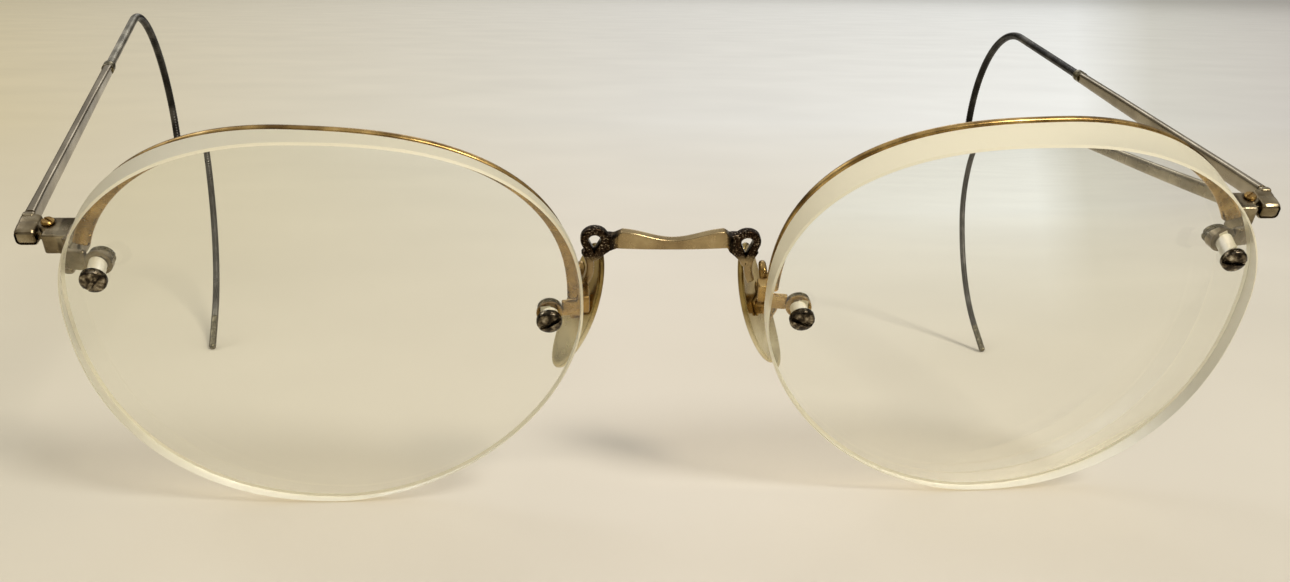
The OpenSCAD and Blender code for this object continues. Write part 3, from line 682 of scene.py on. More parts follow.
def turned(profile: Sequence[Pair], centre: Any, axis: Any, steps: int = 48) -> Shell:
    """Turns a profile of radius and place around an axis; a radius of nearly 0 closes it.

    Formula: point (i, j) = centre + place_i * axis + radius_i * (cos t_j * p + sin t_j * q).
    """
    axis = unit(np.array(axis, float))
    side = X_AXIS if abs(axis[0]) < 0.9 else Z_AXIS
    q = unit(np.cross(side, axis))
    p = np.cross(q, axis)
    t = np.linspace(0, 2 * np.pi, steps, endpoint=False)
    r, a = np.array(profile, float).T
    ring = np.cos(t)[:, None] * p + np.sin(t)[:, None] * q
    rings = np.array(centre, float) + a[:, None, None] * axis + r[:, None, None] * ring[None]
    return Shell.grid(rings[:, ::-1])


def wire(path: Array, radius: float, sides: int = 20) -> Shell:
    """Carries a circle along a path; see bar for the formula."""
    _, across, up = frames(path, X_AXIS)
    t = np.linspace(0, 2 * np.pi, sides, endpoint=False)
    ring = np.cos(t)[:, None] * across[:, None] + np.sin(t)[:, None] * up[:, None]
    return Shell.grid(path[:, None] + radius * ring)


def add_object(name: str, data: Any) -> Any:
    """Adds an object with its data to the scene."""
    obj = bpy.data.objects.new(name, data)
    bpy.context.scene.collection.objects.link(obj)
    return obj


def resampled(points: Array, count: int, closed: bool = False, smooth: int = 0) -> Array:
    """Spaces points evenly along a line, and averages neighbours to round its corners."""
    line = np.concatenate([points, points[:1]]) if closed else points
    steps = np.concatenate([[0], np.cumsum(np.linalg.norm(np.diff(line, axis=0), axis=1))])
    at = np.linspace(0, steps[-1], count, endpoint=not closed)
    out = np.stack([np.interp(at, steps, line[:, c]) for c in range(line.shape[1])], axis=-1)
    for _ in range(smooth):
        if closed:
            out = (np.roll(out, 1, 0) + 2 * out + np.roll(out, -1, 0)) / 4
        else:
            out[1:-1] = (out[:-2] + 2 * out[1:-1] + out[2:]) / 4
    return out


def make_piece(
    name: str,
    shell: Shell,
    body: str,
    materials: Sequence[Any],
    flip: bool,
    nodes: Sequence[str] = (),
    sharp: float = METAL_CREASE,
) -> Any:
    """Turns a shell into a scene piece that rides on a CAD body.

    Args:
        name: Name of the piece.
        shell: World points in metres and faces.
        body: Body it rides on.
        materials: Materials by face mark.
        flip: Whether the faces' order is reversed, as a mirrored side needs.
        nodes: CAD nodes that it stands for.
        sharp: Angle in degrees above which an edge stays crisp.

    Returns:
        The new object.
    """
    mesh = bpy.data.meshes.new(name)
    faces = [f[::-1] for f in shell.faces] if flip else shell.faces
    mesh.from_pydata(shell.points.tolist(), [], faces)
    for mat in materials:
        mesh.materials.append(mat)
    mesh.polygons.foreach_set("material_index", np.asarray(shell.marks, dtype=np.int32))
    obj = add_object(name, mesh)
    finish_mesh(obj, sharp)
    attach(obj, body)
    if nodes:
        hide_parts(*nodes)
    LOG.info("%s: %d faces on %s", name, len(mesh.polygons), body)
    return obj


def finish_mesh(obj: Any, sharp: float) -> None:
    """Merges doubles, turns the normals outwards and shades the mesh by angle."""
    mesh = obj.data
    bm = bmesh.new()
    bm.from_mesh(mesh)
    bmesh.ops.remove_doubles(bm, verts=bm.verts, dist=1e-7)
    bmesh.ops.dissolve_degenerate(bm, edges=bm.edges, dist=1e-8)
    bmesh.ops.recalc_face_normals(bm, faces=bm.faces)
    bm.to_mesh(mesh)
    bm.free()
    mesh.shade_smooth()
    mesh.set_sharp_from_angle(angle=math.radians(sharp))


def carve(obj: Any, cutters: Sequence[Shell], sharp: float = METAL_CREASE) -> None:
    """Cuts solids out of a piece with the exact boolean and keeps the result as its mesh.

    Args:
        obj: Piece to cut.
        cutters: Closed shells in world metres.
        sharp: Angle for the crisp edges afterwards.
    """
    tool_mesh = bpy.data.meshes.new("cutter")
    shell = Shell.join(cutters)
    tool_mesh.from_pydata(shell.points.tolist(), [], shell.faces)
    tool = add_object("cutter", tool_mesh)
    finish_mesh(tool, sharp)
    cut = obj.modifiers.new("cut", "BOOLEAN")
    cut.operation = "DIFFERENCE"
    cut.solver = "EXACT"
    cut.object = tool
    graph = bpy.context.evaluated_depsgraph_get()
    result = bpy.data.meshes.new_from_object(obj.evaluated_get(graph))
    obj.modifiers.remove(cut)
    old, name = obj.data, obj.data.name
    obj.data = result
    bpy.data.meshes.remove(old)
    result.name = name
    bpy.data.objects.remove(tool)
    bpy.data.meshes.remove(tool_mesh)
    result.shade_smooth()
    result.set_sharp_from_angle(angle=math.radians(sharp))


@dataclass
class Assembly:
    """What every sub-assembly shares: the layout, the finishes and its side."""

    layout: Layout
    finishes: Finishes
    side: Side

    @property
    def mirrored(self) -> bool:
        """Whether the side's frame turns faces inside out."""
        return self.side is Side.RIGHT

    def own(self, pair: Pair) -> float:
        """Picks this side's value of a right and left pair."""
        return self.layout.of(pair, self.side)

    def stood(self, shell: Shell) -> Shell:
        """Places a shell of the upright side frame."""
        return shell.moved(lambda p: self.layout.stand(p, self.side))

    def piece(
        self, stem: str, shell: Shell, mats: Sequence[Any], slot: str,
        word: str = "part", body: str = "front", sharp: float = METAL_CREASE,
    ) -> Any:
        """Makes a piece in place of this side's CAD node of a stem.

        Args:
            stem: Name of the CAD node without its side.
            shell: World points in metres and faces.
            mats: Materials by face mark.
            slot: Not used.
            word: Last word of the piece's name.
            body: Body it rides on.
            sharp: Angle in degrees above which an edge stays crisp.

        Returns:
            The new object.
        """
        node = f"{stem}_{self.side.word}"
        return make_piece(f"{node}_{word}", shell, body, mats, self.mirrored, [node], sharp)


@dataclass
class Lens(Assembly):
    """A drilled lens with its brow wire, screws, nuts and straps."""

    head_r: float = 1.18
    head_h: float = 0.9
    hole_r: float = 0.8
    nut_r: float = 1.12
    nut_h: float = 0.7
    boss_t: float = 0.2
    shank_r: float = 0.55
    strap_t: float = 0.55
    gap: float = 0.12
    front_bevel: float = 0.2
    back_bevel: float = 0.32
    wire_w: float = 1.15
    wire_end_w: float = 1.6
    wire_d: float = 0.75
    seat: float = 0.05
    rays: int = 240
    nasal: Pair = (-19.9, 2.05)
    temporal_u: float = 19.2

    @property
    def screws(self) -> dict[str, Pair]:
        """Places of the two screws from the lens centre."""
        return {"nasal": self.nasal, "temporal": (self.temporal_u, self.own(self.layout.screw_up))}

    def at_lens(self, points: Array) -> Array:
        """Moves points from the lens centre's frame to the world."""
        return self.layout.stand(points + np.array([self.layout.lens_x, 0, 0]), self.side)

    def head_y(self, u: float, v: float) -> float:
        """Depth at which a screw head sits on the front surface."""
        return float(self.layout.front_y(math.hypot(u, v) - self.head_r, 0.0)) - self.seat

    def boss_y(self, u: float, v: float) -> float:
        """Depth of the flat that a nut sits on."""
        inward, down = self.own(self.layout.back_in), self.own(self.layout.back_down)
        d = math.hypot(u + inward, v + down) + self.nut_r
        return float(self.layout.back_y(self.side, d - inward, -down, self.gap)) + self.boss_t

    def glass(self) -> None:
        """Builds the lens: rings on both spheres, joined by two bevels and the ground edge.

        Formula: on ray a, radius = share * (rim(a) - bevel), depth from the sphere at that point.
        """
        lay = self.layout
        a = np.linspace(0, 2 * np.pi, self.rays, endpoint=False)
        share = np.concatenate([[POLE], np.linspace(0.06, 1, 26)])
        centre = np.array([lay.outline_out, lay.outline_up])

        def ring(inset: float, part: float) -> tuple[Array, Array]:
            """Gives a ring at a share of the way to the inset outline."""
            u, v = lay.rim(a, inset)
            return centre[0] + part * (u - centre[0]), centre[1] + part * (v - centre[1])

        rows = []
        for part in share:
            u, v = ring(self.front_bevel, part)
            rows.append(np.stack([u, lay.front_y(u, v), v], axis=-1))
        u, v = ring(0.0, 1.0)
        front = lay.front_y(u, v) + self.front_bevel * 0.8
        back = lay.back_y(self.side, u, v) - self.back_bevel * 0.8
        for t in (0.0, 0.33, 0.66, 1.0):
            rows.append(np.stack([u, front * (1 - t) + back * t, v], axis=-1))
        for part in share[::-1]:
            u, v = ring(self.back_bevel, part)
            rows.append(np.stack([u, lay.back_y(self.side, u, v), v], axis=-1))
        count = len(share)
        mark = np.zeros(len(rows) - 1, int)
        mark[count - 1 : count + 4] = 1
        shell = Shell.grid(np.array(rows), mark=mark).moved(self.at_lens)
        mats = [self.finishes.clear, self.finishes.frosted]
        obj = self.piece("lens", shell, mats, "lens_glass", "glass", sharp=GLASS_CREASE)
        drill = [(self.hole_r, -1), (self.hole_r, 14)]
        holes = [turned(drill, (u, 0, v), Y_AXIS) for u, v in self.screws.values()]
        carve(obj, [hole.moved(self.at_lens) for hole in holes], GLASS_CREASE)
        self.frost_holes(obj)

    def frost_holes(self, obj: Any) -> None:
        """Gives the ground finish to the drilled walls: faces a hole's radius off its axis."""
        mesh = obj.data
        mid = np.empty(len(mesh.polygons) * 3)
        mesh.polygons.foreach_get("center", mid)
        marks = np.empty(len(mesh.polygons), dtype=np.int32)
        mesh.polygons.foreach_get("material_index", marks)
        t = math.radians(self.layout.lean)
        mid = mid.reshape(-1, 3) * MM_PER_M
        x = self.side.value * (mid[:, 0] - self.layout.shift[0]) - self.layout.lens_x
        y, z = mid[:, 1] - self.layout.shift[1], mid[:, 2] - self.layout.lift
        v = z * math.cos(t) - y * math.sin(t)
        for u0, v0 in self.screws.values():
            marks[np.hypot(x - u0, v - v0) < self.hole_r + 0.01] = 1
        mesh.polygons.foreach_set("material_index", marks)

    def screw(self, where: str, turn: float) -> None:
        """Builds a lens screw: a domed head with a slot, and its shank."""
        u, v = self.screws[where]
        y0, y1 = self.head_y(u, v), self.boss_y(u, v) + self.nut_h
        r, h = self.head_r, self.head_h
        t = np.radians(np.linspace(0, 80, 9))
        dome = [(r * 0.98 * math.sin(a), y0 - h * 0.55 - h * 0.45 * math.cos(a)) for a in t]
        profile = [(POLE, dome[0][1])] + dome[1:]
        profile += [(r, y0 - h * 0.45), (r, y0 - 0.06), (r - 0.06, y0), (self.shank_r, y0)]
        threads = np.linspace(y0 + 0.02, y1 - 0.08, 60)
        profile += [(self.shank_r - 0.03 * (i % 2), y) for i, y in enumerate(threads)]
        profile += [(self.shank_r - 0.1, y1), (POLE, y1)]
        shell = turned(profile, (u, 0, v), Y_AXIS, 56).moved(self.at_lens)
        mats = [self.finishes.steel]
        obj = self.piece(f"lens_screw_{where}", shell, mats, "aged_steel", "body")
        a = math.radians(turn)
        along = np.array([math.cos(a), 0, -math.sin(a)])
        span = np.array([[-2.0], [2.0]]) * along + np.array([u, y0 - h * 0.95, v])
        slot = bar(span, Y_AXIS, h * 0.9, 0.42, 0.03, False).moved(self.at_lens)
        carve(obj, [slot])

    def nut(self, where: str) -> None:
        """Builds a round nut with bevelled edges and two spanner slots."""
        u, v = self.screws[where]
        y0 = self.boss_y(u, v) + self.seat
        r, h, bore = self.nut_r, self.nut_h, self.shank_r + 0.03
        profile = [(bore, y0), (r - 0.1, y0), (r, y0 + 0.08), (r, y0 + 0.2), (r - 0.08, y0 + 0.25)]
        profile += [(r - 0.08, y0 + 0.3), (r, y0 + 0.35), (r, y0 + h - 0.16), (r - 0.14, y0 + h)]
        profile += [(bore + 0.1, y0 + h), (bore, y0 + h - 0.08), (bore, y0)]
        shell = turned(profile, (u, 0, v), Y_AXIS, 48)
        shell = Shell(shell.points, shell.faces[:-2], shell.marks[:-2]).moved(self.at_lens)
        mats = [self.finishes.nut]
        obj = self.piece(f"lens_nut_{where}", shell, mats, "aged_steel", "body")
        slots = []
        for s in (-1, 1):
            span = np.array([[u + s * 0.75, y0 + h, v], [u + s * 2.0, y0 + h, v]])
            slots.append(bar(span, Y_AXIS, 0.5, 0.35, 0.03, False).moved(self.at_lens))
        carve(obj, slots)

    def boss(self, u: float, v: float) -> Shell:
        """Builds the round end of a strap: its front follows the glass and its back is flat."""
        t = np.linspace(0, 2 * np.pi, 48, endpoint=False)
        rows = []
        for r, back in ((0.58, 0), (1.1, 0), (1.2, 0), (1.2, 1), (1.15, 1), (0.64, 1), (0.58, 1)):
            x, z = u + r * np.cos(t), v + r * np.sin(t)
            flat = np.full_like(t, self.boss_y(u, v) - (0.04 if r in (1.2, 0.58) else 0.0))
            glass = self.layout.back_y(self.side, x, z) + self.gap + (0.04 if r == 1.2 else 0.0)
            rows.append(np.stack([x, flat if back else glass, z], axis=-1))
        rows.append(rows[0])
        return Shell.grid(np.array(rows), caps=False)

    def ear(self, u: float, v: float, width: float, end: float) -> Shell:
        """Builds the strap from a boss to the rim: a rounded bar on the back sphere."""
        xs = np.linspace(u + math.copysign(1.1, end - u), end, 14)
        ys = self.layout.back_y(self.side, xs, np.full_like(xs, v), self.gap + self.strap_t / 2)
        path = np.stack([xs, ys, np.full_like(xs, v)], axis=-1)
        return bar(path, Z_AXIS, width, self.strap_t, 0.16)

    def brow(self) -> None:
        """Builds the brow wire: rounded flat wire behind the top edge, wider at its temple end."""
        lay = self.layout
        half_in, half_out = lay.lens_w / 2 + lay.outline_out, lay.lens_w / 2 - lay.outline_out
        high = max(self.own(lay.hinge_z) + 1.06, self.own(lay.screw_up) + 1.05)
        nose = math.pi - math.asin((lay.block_z[2] + 0.05 - lay.outline_up) / half_in)
        temple = math.asin((high + 0.15 - lay.outline_up) / half_out) + math.radians(2)
        t = np.linspace(0, 1, 110)
        a = temple + (nose - temple) * t
        wide = self.wire_w + (self.wire_end_w - self.wire_w) * (1 - t) ** 4
        ends, middle = self.own(lay.wire_in), self.own(lay.wire_top)
        inside = middle + (ends - middle) * (1 - np.sin(np.pi * t)) ** 2
        c = lay.rim(a, wide / 2 + inside)
        e = lay.rim(a, np.maximum(inside, 0.0))
        y = np.maximum(lay.back_y(self.side, *c), lay.back_y(self.side, *e))
        y = y + self.gap + self.wire_d / 2
        path = np.stack([c[0], y, c[1]], axis=-1)
        across = np.stack([np.cos(a), np.zeros_like(a), np.sin(a)], axis=-1)
        shell = bar(path, across, wide - 0.12, self.wire_d - 0.05, 0.3).moved(self.at_lens)
        self.piece("brow_wire", shell, [self.finishes.gold], "gold_filled", "bow")

    def build(self) -> None:
        """Builds the glass, the wire and the fasteners of this side."""
        self.glass()
        self.brow()
        right = self.side is Side.RIGHT
        turns = {"nasal": 30.0 if right else 20.0, "temporal": 50.0 if right else 5.0}
        for where, turn in turns.items():
            self.screw(where, turn)
            self.nut(where)


@dataclass
class Front(Assembly):
    """The metal of one side of the front: nasal strap, endpiece, guard arm and hinge screw."""

    ear_t: float = 0.6
    tongue_t: float = 0.8
    side_fit: float = 0.06
    arm_x: float = 8.7
    arm_r: float = 0.35
    coil_z: float = 2.9
    arm_room: float = 0.45
    block_x: Pair = (7.9, 9.2)
    strap_in_h: float = 1.6
    strap_in_rise: float = 0.35
    strap_out_h: float = 2.1

    @property
    def half(self) -> float:
        """Half the height of the hinge: half the tongue, the side clearance and one ear."""
        return self.tongue_t / 2 + self.side_fit + self.ear_t

    def build(self, lens: Lens) -> None:
        """Builds the pieces, which follow the lens's back surface."""
        lay = self.layout
        offset, edge = lay.lens_x * X_AXIS, lay.lens_w / 2
        u, v = lens.nasal
        low, foot, high = lay.block_z
        rim_y = float(lay.back_y(self.side, -edge, v)) + lens.gap
        strap = lens.ear(u, v + self.strap_in_rise, self.strap_in_h, -edge - 0.3)
        shells = [s.moved(lambda p: p + offset) for s in (lens.boss(u, v), strap)]
        (x0, x1), room = self.block_x, self.arm_room
        shells.append(block((x0, rim_y, low), (x1, lay.arm_y - room, high), 0.16))
        shells.append(block((x0, rim_y + 0.5, low), (x1, lay.arm_y + room, foot), 0.14))
        self.joined("nasal_strap", shells, self.finishes.gold, "gold_filled")
        self.endpiece(lens, offset)
        self.arm()
        self.pivot()

    def joined(self, stem: str, shells: Sequence[Shell], mat: Any, slot: str) -> Any:
        """Joins shells of the side frame into one piece in place of a CAD node."""
        return self.piece(stem, self.stood(Shell.join(shells)), [mat], slot)

    def endpiece(self, lens: Lens, offset: Array) -> None:
        """Builds the strap, the block past the lens edge and the hinge's two outer knuckles."""
        lay = self.layout
        px, py, pz = lay.hinge(self.side)
        r, ear_t, edge = lay.knuckle_r, self.ear_t, lay.lens_w / 2
        low, high = pz - self.half, pz + self.half
        u, v = lens.screws["temporal"]
        rim_y = float(lay.back_y(self.side, edge, v)) + lens.gap
        web = py - r - 0.1
        front = max(web - 1, rim_y)
        x0 = lay.lens_x + edge - 1.2
        strap = lens.ear(u, v, self.strap_out_h, edge - 0.2)
        shells = [s.moved(lambda p: p + offset) for s in (lens.boss(u, v), strap)]
        reach = self.strap_out_h / 2
        top, foot = max(high, v + reach), min(low, v - reach)
        shells.append(block((x0, rim_y, foot), (x0 + 0.85, max(web, rim_y + 0.8), top), 0.3))
        shells.append(block((x0, front, low), (px - r - 0.1, py + r, high), 0.2))
        if front < web - 0.2:
            shells.append(block((x0, front, low), (px + 0.2, web, high), 0.25))
        ring = [(0.42, 0), (r - 0.08, 0), (r, 0.08), (r, ear_t - 0.08), (r - 0.08, ear_t)]
        ring.append((0.42, ear_t))
        for z in (low, high - ear_t):
            corners = (x0 + 0.1, front + 0.1, z), (px, py + r - 0.02, z + ear_t)
            shells.append(block(*corners, 0.1))
            shells.append(turned(ring, (px, py, z), Z_AXIS))
        self.joined("endpiece", shells, self.finishes.butt, "gold_filled")

    def arm(self) -> None:
        """Builds the guard arm: up from the nasal block, over in a half coil, down to its eye."""
        lay = self.layout
        x, y, r, top = self.arm_x, lay.arm_y, lay.coil_r, self.coil_z
        low, out = lay.pad_z, lay.pad_x
        foot_z = lay.block_z[1]
        t = np.linspace(np.pi, 0, 25)
        coil = np.stack([np.full_like(t, x), y + r + r * np.cos(t), top + r * np.sin(t)], axis=-1)
        rising = [[x, y, foot_z - 0.02], [x, y, top - 0.2]]
        falling = [[x, y + 2 * r, 2.0], [x, y + 2 * r, low]]
        path = resampled(np.concatenate([rising, coil, falling]), 90, smooth=2)
        path[:, 0] += (out - x) * (top - path[:, 2]) / (top - low)
        a = math.radians(64)
        along = np.array([math.cos(a), math.sin(a), 0])
        eye = [(0.34, -0.4), (0.5, -0.4), (0.56, -0.33), (0.56, 0.33), (0.5, 0.4), (0.34, 0.4)]
        bead = [(0.0, 0), (0.4, 0), (0.48, 0.08), (0.44, 0.24), (0.36, 0.34)]
        foot = turned(bead, (x + 0.12, y, foot_z + 0.03), Z_AXIS)
        shells = [wire(path, self.arm_r), turned(eye, (out, y + 2 * r, low), along), foot]
        self.joined("guard_arm", shells, self.finishes.gold, "gold_filled")

    def pivot(self) -> None:
        """Builds the hinge screw: a pin through the knuckles with a slotted head."""
        centre = self.layout.hinge(self.side)
        low, top = -self.half - 0.15, self.half + 0.02
        profile = [(POLE, low), (0.34, low), (0.4, low + 0.07), (0.4, top), (0.56, top)]
        profile += [(0.6, top + 0.06), (0.6, top + 0.2), (0.48, top + 0.33), (0.2, top + 0.35)]
        profile += [(POLE, top + 0.35)]
        shell = turned(profile, centre, Z_AXIS, 40)
        obj = self.joined("hinge_screw", [shell], self.finishes.pin, "pin_metal")
        a = math.radians(35)
        span = np.array([[-1.0], [1.0]]) * np.array([math.cos(a), math.sin(a), 0]) + centre
        span[:, 2] += top + 0.42
        carve(obj, [self.stood(bar(span, Z_AXIS, 0.5, 0.22, 0.02, False))])


@dataclass
class Bridge(Assembly):
    """The bridge: a bowed bar, two teardrop loops and two legs down to the nasal blocks."""

    bar_half: float = 4.9
    bar_z: float = 8.25
    shift: float = -0.55
    loop_x: float = 6.95
    peak_x: float = 4.5
    point: Pair = (1.9, 2.7)
    loop_drop: float = 0.15
    loop_rise: float = 0.35
    loop_r: float = 0.92
    loop_y: float = 6.35
    leg_centre: Pair = (11.0, 5.25)
    leg_r: float = 3.7
    wall: float = 0.76
    mid_h: float = 1.2
    peak_h: float = 1.95
    neck_h: float = 0.75
    neck_l: float = 1.05
    bar_t: float = 0.75

    def build(self) -> None:
        """Builds the bridge as closed shells, a little towards the wearer's right."""
        shells = [self.body()]
        for side in Side:
            pair = (self.loop(side), self.leg())
            shells += [s.moved(lambda p: p * np.array([side.value, 1, 1])) for s in pair]
        shell = self.stood(Shell.join(shells).moved(lambda p: p + self.shift * X_AXIS))
        mats = [self.finishes.bridge]
        make_piece("bridge_bow", shell, "front", mats, False, ["bridge"])

    def loop_z(self, side: Side) -> float:
        """Height of a loop's centre; the right one sits a little higher."""
        return self.bar_z - self.loop_drop + (self.loop_rise if side is Side.RIGHT else 0.0)

    def body(self) -> Shell:
        """Builds the bar and the webs that run from its ends under the loops.

        Formula: ring i is a rounded rectangle between front(x), rear(x), low(x) and top(x); the
        top rises as half a cosine to the peaks and falls as another to the necks.
        """
        web_x = [4.8, 5.05, 5.3, 5.7, 6.3, 6.9]
        x = np.linspace(-6.86, 6.86, 197)
        far = np.abs(x)
        swell, drop = self.peak_h - self.mid_h, self.peak_h - self.neck_h
        rise = self.mid_h + swell * (1 - np.cos(np.pi * far / self.peak_x)) / 2
        along = np.clip((far - self.peak_x) / self.neck_l, 0, 1)
        fall = self.neck_h + drop * (1 + np.cos(np.pi * along)) / 2
        top = self.bar_z + np.where(far < self.peak_x, rise, fall)
        low = self.bar_z + 0.15 * (1 - (far / 5.9) ** 2)
        for side in Side:
            here = np.sign(x) == side.value
            z = self.loop_z(side)
            web_z = [9.0, 8.15, z - 0.65, z - 1.3, z - 1.95, z - 2.45]
            web = np.interp(far, web_x, web_z)
            low = np.where(here & (far > 4.8), np.minimum(low, web), low)
            steep = 2.0 if side is Side.RIGHT else 3.4
            under = z - 0.2 - steep * (far - 6.35)
            top = np.where(here & (far > 6.3), np.minimum(top, under), top)
        soft = np.array([1, 2, 3, 2, 1]) / 9
        low = np.convolve(np.pad(low, 2, "edge"), soft, "valid")
        bow = 4.9 - 0.3 * np.clip(1 - (far / self.bar_half) ** 2, 0, 1)
        front = np.interp(far, [4.9, 5.1, 5.6, 5.9], [4.93, 5.12, 5.78, 5.93])
        front = np.where(far < self.bar_half, bow, front)
        rear = np.interp(far, [4.7, 4.85, 5.45, 5.6], [5.63, 5.78, 6.72, 6.77])
        rear = np.where(far < 4.7, bow + self.bar_t, rear)
        shape = rounded_rect(rear - front, top - low, np.minimum(0.16, (top - low) / 2.2))
        ys = (front + rear)[:, None] / 2 + shape[..., 0]
        zs = (top + low)[:, None] / 2 + shape[..., 1]
        return Shell.grid(np.stack([np.broadcast_to(x[:, None], ys.shape), ys, zs], axis=-1))

    def loop(self, side: Side) -> Shell:
        """Builds a teardrop loop: a circle drawn out to a point, as a closed flat wire.

        Args:
            side: The wearer's side; the left loop is drawn out further.
        """
        t = np.radians(np.linspace(-25, 205, 40))
        x, z = self.loop_x, self.loop_z(side)
        arc = np.stack([x + self.loop_r * np.cos(t), z + self.loop_r * np.sin(t)], axis=-1)
        tip = [[x + 0.05, self.bar_z - self.layout.of(self.point, side)]]
        line = resampled(np.concatenate([arc, tip]), 96, closed=True, smooth=6)
        path = np.stack([line[:, 0], np.full(96, self.loop_y), line[:, 1]], axis=-1)
        tangent = unit(np.roll(path, -1, 0) - np.roll(path, 1, 0))
        up = np.cross(tangent, Y_AXIS)
        shape = rounded_rect(0.9, self.wall, 0.22)[0]
        rings = path[:, None] + shape[None, :, :1] * Y_AXIS + shape[None, :, 1:] * up[:, None]
        return Shell.grid(np.concatenate([rings, rings[:1]]), caps=False)

    def leg(self) -> Shell:
        """Builds a leg: an arc that bulges to the nose between its loop and the nasal block."""
        t = np.radians(np.linspace(149, 207.5, 40))
        x = self.leg_centre[0] + self.leg_r * np.cos(t)
        z = self.leg_centre[1] + self.leg_r * np.sin(t)
        path = np.stack([x, np.full(40, self.loop_y), z], axis=-1)
        return bar(path, Y_AXIS, 0.88, self.wall, 0.24)


@dataclass
class NosePad(Assembly):
    """A metal nose pad with the box and pin that let it rock on the guard arm."""

    frontal: float = 26.0
    splay: float = 19.0
    length: float = 14.0
    width: float = 5.0
    crown_r: float = 40.0
    thick: float = 0.6
    foot: float = 0.96

    def on_arm(self, points: Array) -> Array:
        """Moves points of the pad's frame to the side frame, then to the world."""
        a, b = math.radians(90 - self.frontal), math.radians(self.splay)
        ex = np.array([math.cos(a), math.sin(a), 0])
        ey0 = np.array([-math.sin(a), math.cos(a), 0])
        ey = math.cos(b) * ey0 - math.sin(b) * Z_AXIS
        ez = math.sin(b) * ey0 + math.cos(b) * Z_AXIS
        lay = self.layout
        pivot = np.array([lay.pad_x, lay.arm_y + 2 * lay.coil_r, lay.pad_z])
        return lay.stand(points @ np.stack([ex, ey, ez]) + pivot, self.side)

    def build(self) -> None:
        """Builds the pad, its box and its pin."""
        x0, x1 = 0.46, 0.88
        cheek = [(0.33, 0), (0.52, 0), (0.56, 0.04), (0.56, 0.38), (0.52, 0.42), (0.33, 0.42)]
        shells = [block((-x1, 0.66, -0.85), (x1, 0.93, 0.85), 0.08)]
        for s in (-1, 1):
            lo, hi = sorted((s * x0, s * x1))
            shells.append(block((lo, 0.05, -0.56), (hi, 0.85, 0.56), 0.06))
            shells.append(turned(cheek, (lo, 0, 0), X_AXIS, 36))
        pin = [(POLE, -0.93), (0.24, -0.93), (0.3, -0.88), (0.3, 0.88), (0.24, 0.93), (POLE, 0.93)]
        made = self.finishes
        for stem, shell, mat, slot, word in (
            ("nose_pad", self.shell(), made.pad, "pad_gold", "shell"),
            ("pad_box", Shell.join(shells), made.gold, "gold_filled", "part"),
            ("pad_pin", turned(pin, (0, 0, 0), X_AXIS, 32), made.pin, "pin_metal", "part"),
        ):
            body = f"pad_{self.side.word}"
            self.piece(stem, shell.moved(self.on_arm), [mat], slot, word, body)

    def shell(self) -> Shell:
        """Builds the pad: an ellipse pressed onto a sphere, with a rounded rim.

        Formula: at share s of the ellipse, y = sqrt(R^2 - x^2 - z^2) - R + foot, for two radii R
        that differ by the thickness, joined by half a circle at the rim.
        """
        t = np.linspace(0, 2 * np.pi, 96, endpoint=False)
        outer = self.foot + self.thick - self.crown_r
        rows = []
        half = self.thick / 2

        def row(inset: float, share: float, drop: float) -> None:
            """Adds a ring at an inset, a share of the way out and a depth under the crown."""
            x = share * (self.width / 2 - inset) * np.cos(t)
            z = share * (self.length / 2 - inset) * np.sin(t)
            y = outer + np.sqrt(self.crown_r**2 - x**2 - z**2) - drop
            rows.append(np.stack([x, y, z], axis=-1))

        shares = np.concatenate([[0.003], np.linspace(0.12, 1, 12)])
        for share in shares:
            row(half, share, 0.0)
        for angle in np.radians([20, 45, 70, 90, 110, 135, 160]):
            row(half * (1 - math.sin(angle)), 1.0, half * (1 - math.cos(angle)))
        for share in shares[::-1]:
            row(half, share, self.thick)
        return Shell.grid(np.array(rows))


